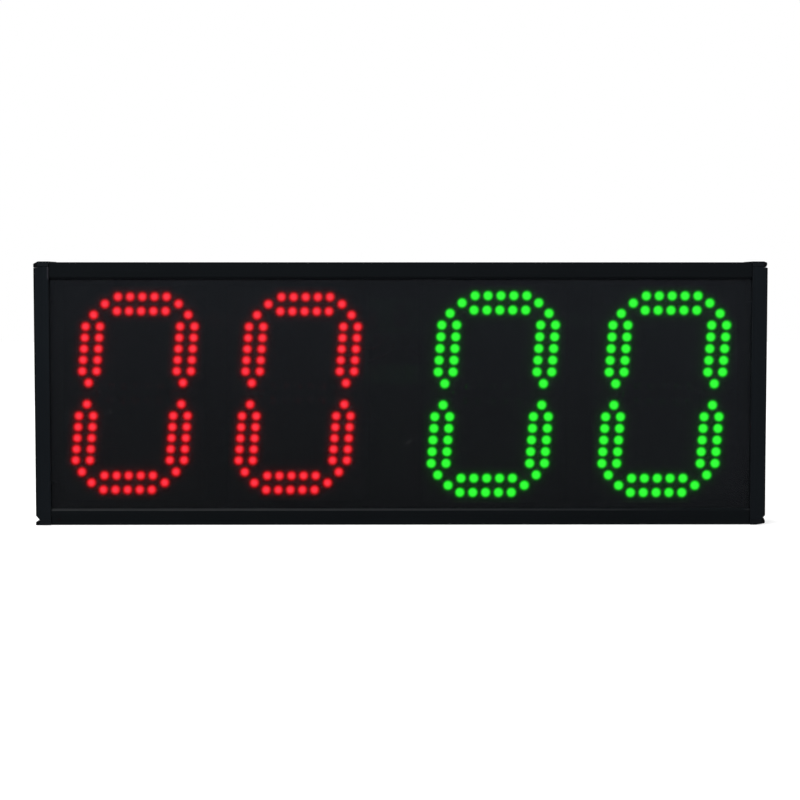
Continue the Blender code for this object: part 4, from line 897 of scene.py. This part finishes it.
def lamp_places(colour):
    """(across, up, lit) of every lamp of a digit, from its middle, before the slant."""
    row_pitch, row_gap, half_height, column_pitch, column_gap, half_width = LAYOUTS[colour]
    places = []
    middle = (LAMPS_PER_ROW - 1) / 2
    row_end = middle * row_pitch + CORNER_STEP
    mid_row = half_height - row_gap / 2
    mid_column = half_width - column_gap / 2
    last_height = FIRST_LAMP_HEIGHT + (LAMPS_PER_ROW - 1) * column_pitch
    for row_z in (mid_row, 0.0, -mid_row):
        lit = row_z != 0.0
        for i in range(LAMPS_PER_ROW):
            across = (i - middle) * row_pitch
            places.append((across, row_z - row_gap / 2, lit))
            places.append((across, row_z + row_gap / 2, lit))
        places.append((-row_end, row_z, lit))
        places.append((row_end, row_z, lit))
    for side in (-1, 1):
        for half in (-1, 1):
            for i in range(LAMPS_PER_ROW):
                up = half * (FIRST_LAMP_HEIGHT + i * column_pitch)
                places.append((side * (mid_column - column_gap / 2), up, True))
                places.append((side * (mid_column + column_gap / 2), up, True))
            places.append((side * mid_column, half * (FIRST_LAMP_HEIGHT - COLUMN_END_STEP), True))
            places.append((side * mid_column, half * (last_height + COLUMN_END_STEP), True))
    return places


def placed_lamps(number, colour, middle):
    """((x, z), lit) of every lamp of a digit."""
    slant, right, rise = DIGIT_SETTING[number]
    return [
        ((middle.x + right + across + slant * up, middle.z + rise + up), lit)
        for across, up, lit in lamp_places(colour)
    ]


def build_lamps(name, lamps, board_front, materials):
    """All lamps of a digit. Their core attribute is highest at the tip and falls towards the rim."""
    mesh = bmesh.new()
    core = mesh.verts.layers.float.new("core")
    dome_start = board_front - LAMP_HEIGHT + LAMP_RADIUS
    profile = [
        (LAMP_FLANGE_RADIUS, board_front),
        (LAMP_FLANGE_RADIUS, board_front - LAMP_FLANGE_THICKNESS),
        (LAMP_RADIUS, board_front - LAMP_FLANGE_THICKNESS),
    ]
    profile += arc((0.0, dome_start), LAMP_RADIUS, 0, -90 + 90 / LAMP_DOME_STEPS, LAMP_DOME_STEPS - 1)
    for place, lit in lamps:
        rings = lathe(mesh, profile, place, LAMP_SEGMENTS, material=0 if lit else 1)
        for ring, (radius, _) in zip(rings, profile):
            for vert in ring:
                vert[core] = max(CORE_RIM, 1.0 - (radius / LAMP_RADIUS) ** 2)
    piece(name, mesh, materials, smooth_angle=LAMP_SMOOTH_ANGLE)


def build_collars(name, lamps, board_front, material):
    """The ring that holds each lamp upright on the board."""
    mesh = bmesh.new()
    top = board_front - COLLAR_HEIGHT
    profile = [
        (COLLAR_OUTER, board_front),
        (COLLAR_OUTER, top + COLLAR_EDGE),
        (COLLAR_OUTER - COLLAR_EDGE, top),
        (COLLAR_INNER, top),
        (COLLAR_INNER, board_front),
    ]
    for place, _ in lamps:
        lathe(mesh, profile, place, LAMP_SEGMENTS, closed=True)
    piece(name, mesh, [material])


def glow_at(x, z, lit, spread):
    """How strongly the film glows at a point, from the lit lamps near it."""
    radius, steepness, haze = spread
    total = 0.0
    for lamp_x, lamp_z in lit:
        away = math.hypot(x - lamp_x, z - lamp_z)
        if away < GLOW_REACH:
            total += (1 - haze) * math.exp(-((away / radius) ** steepness))
            total += haze * math.exp(-((away / HAZE_RADIUS) ** 2))
    return min(total, 1.0)


def build_film(name, lamps, front, spread, material):
    """A thin film over a digit, with the glow of its lit lamps as an attribute of its front."""
    lit = [place for place, is_lit in lamps if is_lit]
    left = min(x for x, _ in lit) - FILM_MARGIN
    right = max(x for x, _ in lit) + FILM_MARGIN
    bottom = min(z for _, z in lit) - FILM_MARGIN
    top = max(z for _, z in lit) + FILM_MARGIN
    columns = round((right - left) / FILM_STEP)
    rows = round((top - bottom) / FILM_STEP)
    mesh = bmesh.new()
    glow = mesh.verts.layers.float.new("glow")
    grid = []
    for j in range(rows + 1):
        z = bottom + (top - bottom) * j / rows
        line = []
        for i in range(columns + 1):
            x = left + (right - left) * i / columns
            vert = mesh.verts.new((x, front, z))
            vert[glow] = glow_at(x, z, lit, spread)
            line.append(vert)
        grid.append(line)
    for low_line, high_line in zip(grid, grid[1:]):
        for i in range(columns):
            mesh.faces.new((low_line[i], low_line[i + 1], high_line[i + 1], high_line[i]))
    rim = grid[0] + [line[-1] for line in grid[1:]]
    rim += grid[-1][-2::-1] + [line[0] for line in grid[-2:0:-1]]
    back = [mesh.verts.new((vert.co.x, front + FILM_THICKNESS, vert.co.z)) for vert in rim]
    for i in range(len(rim)):
        j = (i + 1) % len(rim)
        mesh.faces.new((rim[i], rim[j], back[j], back[i]))
    mesh.faces.new(back)
    piece(name, mesh, [material], smooth_angle=None)


def build_digit_board(name, node, board_front, lamps, materials):
    """The board of a digit, with the socket and the solder joints on its back, and its four screws."""
    low, high, centre = node_place(node)
    board_back = board_front + BOARD_THICKNESS
    half_width = (high.x - low.x) / 2
    half_height = (high.z - low.z) / 2
    mesh = bmesh.new()
    slab(mesh, [(half_width, half_height, BOARD_CORNER, y) for y in (board_front, board_back)], centre)
    header_half = (HEADER_SIZE[0] / 2, HEADER_SIZE[2] / 2)
    header_end = board_back + HEADER_SIZE[1]
    header_low = (centre[0] - header_half[0], board_back, HEADER_Z - header_half[1])
    header_high = (centre[0] + header_half[0], header_end, HEADER_Z + header_half[1])
    soft_box(mesh, header_low, header_high, HEADER_EDGE, 1)
    joint = [(SOLDER_RADIUS, board_back), (SOLDER_RADIUS * 0.5, board_back + SOLDER_HEIGHT)]
    for (x, z), _ in lamps:
        for side in (-1, 1):
            pin_x = x + side * SOLDER_SPACING / 2
            under_header = abs(pin_x - centre[0]) < header_half[0] and abs(z - HEADER_Z) < header_half[1]
            if not under_header:
                lathe(mesh, joint, (pin_x, z), SOLDER_SIDES, material=2)
    head = [(BOARD_SCREW_RADIUS, board_front)]
    head_centre = (BOARD_SCREW_RADIUS - BOARD_SCREW_EDGE, board_front - BOARD_SCREW_HEIGHT + BOARD_SCREW_EDGE)
    head += arc(head_centre, BOARD_SCREW_EDGE, 0, -90, 3)
    for across in (-1, 1):
        for up in (-1, 1):
            place = (
                centre[0] + across * (half_width - SPACER_INSET),
                centre[1] + up * (half_height - SPACER_INSET),
            )
            lathe(mesh, head, place, LAMP_SEGMENTS, material=3)
    skins = [materials[kind] for kind in ("black_board", "black_plastic", "solder", "black_steel")]
    piece(name, mesh, skins, replaces=[node])


def build_digits(materials):
    film_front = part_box("front_window")[1].y + FILM_GAP
    for number in range(1, 5):
        node = f"digit_board_{number}"
        colour = "red" if number <= 2 else "green"
        low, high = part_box(node)
        board_front = low.y + LAMP_HEIGHT
        lamps = placed_lamps(number, colour, (low + high) / 2)
        skins = [materials[f"{colour}_lamp"], materials[f"{colour}_unlit"]]
        build_digit_board(f"digit_{number}_board", node, board_front, lamps, materials)
        build_lamps(f"digit_{number}_lamps", lamps, board_front, skins)
        build_collars(f"digit_{number}_collars", lamps, board_front, materials["black_plastic"])
        film = materials[f"{colour}_film"]
        build_film(f"digit_{number}_film", lamps, film_front, SPREADS[colour], film)


# Screws


def screw_mesh(kind, head_radius, length, material):
    """A pan head screw with a cross recess. It points down its own Y axis, with its seat at the origin."""
    shank, head_height, recess_depth = SCREWS[kind]
    crown = head_height * SCREW_CROWN
    corner = crown * SCREW_CORNER
    edge = EDGE_RADIUS / 4
    profile = [(head_radius * share, head_height - crown * drop) for share, drop in SCREW_TOP]
    profile += arc((head_radius - corner, head_height - crown), corner, 75, 0, 4)
    profile += [(head_radius, edge), (head_radius - edge, 0.0), (shank, 0.0)]
    profile += thread(shank, 0.0, int((length - head_height) / THREAD_PITCH) - 1)
    profile.append((shank * SCREW_TIP, -(length - head_height)))
    obj = mesh_object(f"{kind}_screw_shape", lathed(profile, (0.0, 0.0), BAR_SEGMENTS), [material])
    for crosswise in (False, True):
        layers = []
        for y, share in ((head_height * RECESS_REACH, 1.0), (head_height - recess_depth, RECESS_TAPER)):
            half = [head_radius * RECESS_LENGTH * share, head_radius * RECESS_WIDTH * (0.5 + share / 2)]
            if crosswise:
                half.reverse()
            corners = ((-1, -1), (1, -1), (1, 1), (-1, 1))
            layers.append([(half[0] * a, y, half[1] * b) for a, b in corners])
        combine(obj, "DIFFERENCE", lofted(layers))
    mesh = obj.data
    bpy.data.objects.remove(obj)
    return mesh


def build_screws(materials):
    """Every screw at its node's place, each turned its own way. Those of the handles come from inside."""
    rng = random.Random(7)
    for kind, (_, head_height, _) in SCREWS.items():
        shape = None
        from_inside = kind == "handle"
        for name in sorted(n for n in nodes if kind in n and "screw" in n):
            low, high, centre = node_place(name)
            if shape is None:
                shape = screw_mesh(kind, (high.x - low.x) / 2, high.y - low.y, materials["steel"])
            obj = bpy.data.objects.new(f"{name}_fine", shape)
            bpy.context.scene.collection.objects.link(obj)
            seat_y = low.y + head_height if from_inside else high.y - head_height
            turn = Matrix.Rotation(rng.uniform(0, math.pi), 4, "Y")
            flip = Matrix.Rotation(math.pi if from_inside else 0.0, 4, "X")
            obj.matrix_world = Matrix.Translation((centre[0], seat_y, centre[1])) @ flip @ turn
            settle(obj, replaces=[name])


# Push buttons


def build_button(number, materials):
    body_node = f"digit_button_{number}_body"
    cap_node = f"digit_button_{number}_cap"
    low, _, place = node_place(body_node)
    cap_low, cap_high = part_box(cap_node)
    bezel_radius, bezel_thickness = BUTTON_BEZEL
    face = PANEL_OUTSIDE + bezel_thickness
    barrel_end = PANEL_INSIDE - BUTTON_BARREL_LENGTH
    profile = [
        (BUTTON_BORE, cap_low.y - BUTTON_WELL),
        (BUTTON_BORE, face - BUTTON_BORE_EDGE),
        (BUTTON_BORE + BUTTON_BORE_EDGE, face),
    ]
    profile += arc((bezel_radius - EDGE_RADIUS, face - EDGE_RADIUS), EDGE_RADIUS, 90, 0)
    profile += [(bezel_radius, PANEL_OUTSIDE), (BUTTON_BARREL_RADIUS, PANEL_OUTSIDE)]
    turns = int((PANEL_OUTSIDE - barrel_end) / THREAD_PITCH) - 2
    profile += thread(BUTTON_BARREL_RADIUS, PANEL_OUTSIDE, turns)
    profile.append((BUTTON_BARREL_RADIUS, barrel_end))
    profile += [(BUTTON_BASE_RADIUS, barrel_end), (BUTTON_BASE_RADIUS, low.y)]
    button = lathed(profile, place)
    piece(f"push_button_{number}", button, [materials["nickel"]], replaces=[body_node])
    top = cap_high.y
    cap = [(BUTTON_CAP_RADIUS, cap_low.y)]
    cap += arc((BUTTON_CAP_RADIUS - EDGE_RADIUS, top - EDGE_RADIUS), EDGE_RADIUS, 0, 90)
    cap += [(radius, top - depth) for radius, depth in BUTTON_CAP_DISH]
    piece(f"push_button_{number}_top", lathed(cap, place), [materials["button"]],
          f"button_cap_{number}", [cap_node])


# Power switch


def build_switch(materials):
    low, high, centre = node_place("power_switch_body")
    face = high.y
    body_front = PANEL_INSIDE - SWITCH_DEPTH
    outer = (SWITCH_BEZEL[0] / 2, SWITCH_BEZEL[1] / 2)
    well = (ROCKER_HALF_WIDTH + ROCKER_GAP, ROCKER_RADIUS + ROCKER_GAP)
    body = (SWITCH_BODY[0] / 2, SWITCH_BODY[1] / 2)
    layers = [
        (*well, SWITCH_WELL_CORNER, face - ROCKER_PIVOT_DEPTH - well[1]),
        (*well, SWITCH_WELL_CORNER, face - SWITCH_WELL_EDGE),
        (well[0] + SWITCH_WELL_EDGE, well[1] + SWITCH_WELL_EDGE, SWITCH_WELL_EDGE, face),
        *rim_layers(outer, SWITCH_RIM, face),
        (*outer, SWITCH_RIM[-1][1], PANEL_OUTSIDE),
        (*body, SWITCH_BODY_CORNER, PANEL_OUTSIDE),
        (*body, SWITCH_BODY_CORNER, body_front),
    ]
    mesh = bmesh.new()
    slab(mesh, layers, centre)
    half_width, half_height = SWITCH_TAB_HALF
    for end in (-1, 1):
        tab_z = centre[1] + end * SWITCH_TAB_PLACE
        tab_low = (centre[0] - half_width, low.y, tab_z - half_height)
        tab_high = (centre[0] + half_width, body_front, tab_z + half_height)
        soft_box(mesh, tab_low, tab_high, TAB_EDGE, 1)
    skins = [materials["black_plastic"], materials["brass"]]
    piece("power_switch", mesh, skins, replaces=["power_switch_body"])
    build_rocker(centre[0], centre[1], face - ROCKER_PIVOT_DEPTH, materials)


def build_rocker(x, z, pivot_y, materials):
    """The rocker with one end pressed, a bar raised on that half and a ring on the other."""
    tilt = Matrix.Rotation(ROCKER_TILT, 3, "X")
    pivot = Vector((x, pivot_y, z))

    def tilted(across, out, up):
        return pivot + tilt @ Vector((across, out, up))

    start = math.degrees(math.asin(ROCKER_END / ROCKER_RADIUS))
    outline = arc((0.0, 0.0), ROCKER_RADIUS, start, -180 - start, ROCKER_ARC_STEPS)
    slope = (ROCKER_END - ROCKER_DIP) / math.cos(math.radians(start)) / ROCKER_RADIUS
    valley_half, valley_round = ROCKER_VALLEY
    for up in (-valley_half, 0.0, valley_half):
        outline.append((up, ROCKER_DIP + max(abs(up), valley_round) * slope))
    trimmed = 1 - ROCKER_EDGE / ROCKER_RADIUS
    straight = ROCKER_HALF_WIDTH - ROCKER_EDGE
    layers = [
        [tilted(side, out * share, up * share) for up, out in outline]
        for side, share in (
            (-ROCKER_HALF_WIDTH, trimmed), (-straight, 1.0), (straight, 1.0), (ROCKER_HALF_WIDTH, trimmed)
        )
    ]
    piece("power_rocker_fine", lofted(layers), [materials["rocker"]], "rocker", ["power_rocker"])
    lean = math.atan(slope)

    def on_face(across, along, rise):
        """A point on the sloping half of the face, along from the middle."""
        up = along * math.cos(lean) - rise * math.sin(lean) * math.copysign(1.0, along)
        out = ROCKER_DIP + abs(along) * math.sin(lean) + rise * math.cos(lean)
        return tilted(across, out, up)

    mesh = bmesh.new()
    bar = rounded(*MARK_BAR)
    loft(mesh, [[on_face(a, MARK_PLACE + b, rise) for a, b in bar] for rise in (-MARK_RISE, MARK_RISE)])
    turn = [2 * math.pi * i / MARK_SEGMENTS for i in range(MARK_SEGMENTS)]
    outer, inner = MARK_RING
    rings = []
    for radius, rise in ((outer, -MARK_RISE), (outer, MARK_RISE), (inner, MARK_RISE), (inner, -MARK_RISE)):
        rings.append([on_face(radius * math.cos(a), -MARK_PLACE + radius * math.sin(a), rise) for a in turn])
    loft(mesh, rings, closed=True)
    piece("power_rocker_marks", mesh, [materials["mark"]], "rocker")


# Charging socket


def build_jack(materials):
    low, high, centre = node_place("charge_jack")
    x = centre[0]
    half = ((high.x - low.x) / 2, (high.z - low.z) / 2)
    place = (x, JACK_Z)
    face = PANEL_OUTSIDE + JACK_PLATE_THICKNESS
    barrel_end = PANEL_INSIDE - JACK_BARREL_LENGTH
    hinge = (face + COVER_GAP + HINGE_RADIUS, JACK_Z + HINGE_RISE)
    mesh = bmesh.new()
    slab(mesh, [(*half, JACK_PLATE_CORNER, PANEL_OUTSIDE), *rim_layers(half, JACK_RIM, face)], centre)
    jack = mesh_object("charging_socket", mesh, [materials["black_plastic"]])
    barrel = [(JACK_BARREL_RADIUS, barrel_end), (JACK_BARREL_RADIUS, PANEL_OUTSIDE + JOIN_DEPTH)]
    combine(jack, "UNION", lathed(barrel, place))
    lug = bmesh.new()
    lug_half, lug_bottom, lug_top = JACK_LUG
    lug_low = (x - lug_half, low.y, JACK_Z + lug_bottom)
    lug_high = (x + lug_half, barrel_end + JOIN_DEPTH, JACK_Z + lug_top)
    soft_box(lug, lug_low, lug_high, TAB_EDGE)
    combine(jack, "UNION", lug)
    ear_reach = HINGE_RADIUS + HINGE_EAR_WALL
    for side in (-1, 1):
        inner = x + side * (HINGE_KNUCKLE_HALF + HINGE_EAR_GAP)
        outer = inner + side * HINGE_EAR_WIDTH
        outline = [(face - JOIN_DEPTH, hinge[1] - ear_reach), (face - JOIN_DEPTH, hinge[1] + ear_reach)]
        outline += arc(hinge, ear_reach, 90, -90, HINGE_ARC_STEPS)
        combine(jack, "UNION", lofted([[(ear_x, y, z) for y, z in outline] for ear_x in (inner, outer)]))
    flare_width, flare_depth = JACK_BORE_FLARE
    bore = [
        (JACK_BORE_RADIUS, face - JACK_BORE_DEPTH),
        (JACK_BORE_RADIUS, face - flare_depth),
        (JACK_BORE_RADIUS + flare_width, face + JOIN_DEPTH),
    ]
    combine(jack, "DIFFERENCE", lathed(bore, place))
    hole_radius = HINGE_PIN_RADIUS + HINGE_PIN_PLAY
    hole_reach = HINGE_KNUCKLE_HALF + 2 * HINGE_EAR_GAP + HINGE_EAR_WIDTH
    pin_hole = [(hole_radius, x - hole_reach), (hole_radius, x + hole_reach)]
    combine(jack, "DIFFERENCE", lathed(pin_hole, hinge, HOLE_SEGMENTS, axis="X"))
    settle(jack, replaces=["charge_jack"])
    tip = face - JACK_BORE_DEPTH + JACK_PIN_LENGTH
    contact = [(JACK_PIN_RADIUS, face - JACK_BORE_DEPTH)]
    contact += arc((JACK_PIN_RADIUS - JACK_PIN_TIP, tip - JACK_PIN_TIP), JACK_PIN_TIP, 0, 80, 4)
    piece("charging_contact", lathed(contact, place, HOLE_SEGMENTS), [materials["brass"]])
    build_cover(x, face + COVER_GAP, hinge, materials)


def build_cover(x, inner, hinge, materials):
    """The round rubber cover with its arm and knuckle, and both ends of the steel pin it turns on."""
    outer = inner + COVER_THICKNESS
    disc = [(COVER_RADIUS - COVER_BEVEL, inner), (COVER_RADIUS, inner + COVER_BEVEL)]
    disc += arc((COVER_RADIUS - COVER_EDGE, outer - COVER_EDGE), COVER_EDGE, 0, 90)
    disc += [(radius, outer - depth) for radius, depth in COVER_GROOVE]
    cover = mesh_object("socket_cover", lathed(disc, (x, JACK_Z)), [materials["rubber"]])
    half = HINGE_KNUCKLE_HALF
    arm_half = half - COVER_ARM_INSET
    arm = bmesh.new()
    arm_low = (x - arm_half, inner, JACK_Z + COVER_ARM_START)
    arm_high = (x + arm_half, outer - COVER_ARM_DROP, hinge[1])
    soft_box(arm, arm_low, arm_high, COVER_ARM_INSET)
    combine(cover, "UNION", arm)
    knuckle = [
        (HINGE_RADIUS - HINGE_BEVEL, x - half),
        (HINGE_RADIUS, x - half + HINGE_BEVEL),
        (HINGE_RADIUS, x + half - HINGE_BEVEL),
        (HINGE_RADIUS - HINGE_BEVEL, x + half),
    ]
    combine(cover, "UNION", lathed(knuckle, hinge, KNUCKLE_SEGMENTS, axis="X"))
    settle(cover, "port_cover", ["charge_port_cover"])
    pin = bmesh.new()
    reach = half + HINGE_EAR_GAP + HINGE_EAR_WIDTH
    for side in (-1, 1):
        profile = [
            (HINGE_PIN_RADIUS, x + side * half),
            (HINGE_PIN_RADIUS, x + side * (reach - HINGE_BEVEL)),
            (HINGE_PIN_RADIUS - HINGE_BEVEL, x + side * reach),
        ]
        lathe(pin, profile, hinge, HOLE_SEGMENTS, axis="X")
    piece("cover_hinge_pin", pin, [materials["steel"]], "port_cover")


# Handles


def handle_route(x, bottom, top):
    """(point, direction) along a handle, from its lower foot out, up and back to its upper one."""
    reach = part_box("back_panel")[1].y + HANDLE_REACH
    route = [(Vector((x, PANEL_OUTSIDE, bottom)), Vector((0, 1, 0)))]
    for centre_z, first in ((bottom + HANDLE_BEND, math.pi), (top - HANDLE_BEND, math.pi / 2)):
        for i in range(HANDLE_BEND_STEPS + 1):
            angle = first - math.pi / 2 * i / HANDLE_BEND_STEPS
            offset = Vector((0, math.sin(angle), math.cos(angle)))
            centre = Vector((x, reach - HANDLE_BEND, centre_z))
            route.append((centre + offset * HANDLE_BEND, Vector((0, -math.cos(angle), math.sin(angle)))))
    route.append((Vector((x, PANEL_OUTSIDE, top)), Vector((0, -1, 0))))
    return route


def build_handle(side, materials):
    node = f"{side}_handle"
    low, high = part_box(node)
    x = (low.x + high.x) / 2
    bottom = low.z + HANDLE_RADIUS
    top = high.z - HANDLE_RADIUS
    layers = []
    for point, direction in handle_route(x, bottom, top):
        across = Vector((1, 0, 0))
        up = direction.cross(across)
        layers.append([
            point + (across * math.cos(a) + up * math.sin(a)) * HANDLE_RADIUS
            for a in [2 * math.pi * i / BAR_SEGMENTS for i in range(BAR_SEGMENTS)]
        ])
    piece(f"{node}_bar", lofted(layers), [materials["handle"]], replaces=[node])
    build_grip(side, x, materials)


def build_grip(side, x, materials):
    """A rubber tube with ribs round it between two smooth collars."""
    low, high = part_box(f"{side}_handle_grip")
    place = (x, (low.y + high.y) / 2)
    profile = [(GRIP_INNER, low.z)]
    profile += arc((GRIP_RADIUS - GRIP_EDGE, low.z + GRIP_EDGE), GRIP_EDGE, -90, 0)
    grooves = int((high.z - low.z - 2 * GRIP_COLLAR) / GRIP_PITCH)
    first = (low.z + high.z - grooves * GRIP_PITCH) / 2
    for i in range(grooves):
        start = first + i * GRIP_PITCH
        profile += [(GRIP_RADIUS - depth, start + along) for along, depth in GRIP_GROOVE]
    profile += arc((GRIP_RADIUS - GRIP_EDGE, high.z - GRIP_EDGE), GRIP_EDGE, 0, 90)
    profile.append((GRIP_INNER, high.z))
    mesh = lathed(profile, place, closed=True, axis="Z")
    piece(f"{side}_grip_sleeve", mesh, [materials["rubber"]], replaces=[f"{side}_handle_grip"])


# Carried-over nodes


def paint_nodes(materials):
    """Gives every node of the model that still shows its finish."""
    kinds = {
        "rail": ("top_rail", "bottom_rail"),
        "upright": ("left_side_profile", "right_side_profile"),
        "window": ("front_window",),
        "panel": ("back_panel",),
        "black_steel": [n for n in nodes if n.endswith("_nut")],
        "controller": ("controller_board",),
        "button_board": ("button_board",),
        "ribbon": ("left_ribbon_cable", "right_ribbon_cable"),
        "sleeve": ("battery_pack",),
        "black_plastic": ("battery_tray",),
        "lead": [n for n in nodes if n.endswith("_lead")],
    }
    for kind, names in kinds.items():
        for name in names:
            data = nodes[name].data
            data.materials.clear()
            data.materials.append(materials[kind])


# Stage


def white_to_see(tree, plain, white):
    """A level that is white to camera, glossy and transmission rays and plain to all others."""
    path = tree.nodes.new("ShaderNodeLightPath")
    seen = path.outputs["Is Camera Ray"]
    for ray in ("Is Glossy Ray", "Is Transmission Ray"):
        add = tree.nodes.new("ShaderNodeMath")
        add.operation = "ADD"
        add.use_clamp = True
        tree.links.new(seen, add.inputs[0])
        tree.links.new(path.outputs[ray], add.inputs[1])
        seen = add.outputs[0]
    mix = tree.nodes.new("ShaderNodeMix")
    tree.links.new(seen, mix.inputs["Factor"])
    feed(tree, mix.inputs[2], plain)
    feed(tree, mix.inputs[3], white)
    return mix.outputs[0]


def build_world():
    """A white studio that gives less light from in front of the display than from behind it."""
    world = bpy.data.worlds.new("studio")
    bpy.context.scene.world = world
    world.use_nodes = True
    tree = world.node_tree
    direction = tree.nodes.new("ShaderNodeTexCoord")
    split = tree.nodes.new("ShaderNodeSeparateXYZ")
    tree.links.new(direction.outputs["Generated"], split.inputs["Vector"])
    level = tree.nodes.new("ShaderNodeMapRange")
    limits = (*LEVEL_TURN, FRONT_LEVEL, BACK_LEVEL)
    for key, limit in zip(("From Min", "From Max", "To Min", "To Max"), limits):
        level.inputs[key].default_value = limit
    tree.links.new(split.outputs["Y"], level.inputs["Value"])
    background = tree.nodes["Background"]
    background.inputs["Color"].default_value = (1.0, 1.0, 1.0, 1.0)
    tree.links.new(white_to_see(tree, level.outputs["Result"], 1.0), background.inputs["Strength"])


def build_lights():
    for name, (place, size, power) in LIGHTS.items():
        data = bpy.data.lights.new(name, "AREA")
        data.shape = "RECTANGLE"
        data.size, data.size_y = size
        data.energy = power
        light = bpy.data.objects.new(name, data)
        light.location = place
        light.rotation_euler = (Vector(LIGHT_AIM) - Vector(place)).to_track_quat("-Z", "Y").to_euler()
        bpy.context.scene.collection.objects.link(light)


def build_floor():
    """A pale floor that looks white and keeps a soft shadow."""
    mesh = bmesh.new()
    corners = ((-1, -1), (1, -1), (1, 1), (-1, 1))
    mesh.faces.new([mesh.verts.new((FLOOR_HALF * x, FLOOR_HALF * y, -FLOOR_GAP)) for x, y in corners])
    nt = Nodes("pale_floor")
    nt.set(Base_Color=nt.blend(nt.noise(3.0), (0.49, 0.49, 0.49), (0.51, 0.51, 0.51)), Roughness=0.9)
    nt.set(Specular_IOR_Level=0.0, Emission_Color=(1.0, 1.0, 1.0))
    away = nt.new("ShaderNodeVectorMath", operation="LENGTH")
    nt.link(nt.place, away.inputs[0])
    white = nt.spread(away.outputs["Value"], *FLOOR_FADE, *FLOOR_GLOW)
    nt.set(Emission_Strength=white_to_see(nt.tree, 0.0, white))
    mesh_object("floor", mesh, [nt.material], None)


def build_camera():
    data = bpy.data.cameras.new("camera")
    data.lens = CAMERA_LENS
    data.sensor_width = SENSOR_WIDTH
    camera = bpy.data.objects.new("camera", data)
    camera.location = CAMERA_PLACE
    ahead = Vector(CAMERA_AIM) - Vector(CAMERA_PLACE)
    camera.rotation_euler = ahead.to_track_quat("-Z", "Y").to_euler()
    bpy.context.scene.collection.objects.link(camera)
    bpy.context.scene.camera = camera


def main():
    bpy.context.scene.view_settings.view_transform = "Standard"
    build_camera()
    materials = make_materials()
    paint_nodes(materials)
    for name in ("top_rail", "bottom_rail", "left_side_profile", "right_side_profile"):
        soften(nodes[name], FRAME_EDGE)
    for corner, ear in EARS.items():
        build_corner_cap(corner, ear, materials["cap"])
    build_digits(materials)
    build_screws(materials)
    for number in range(1, 5):
        build_button(number, materials)
    build_switch(materials)
    build_jack(materials)
    for side in ("left", "right"):
        build_handle(side, materials)
    build_world()
    build_lights()
    build_floor()


main()
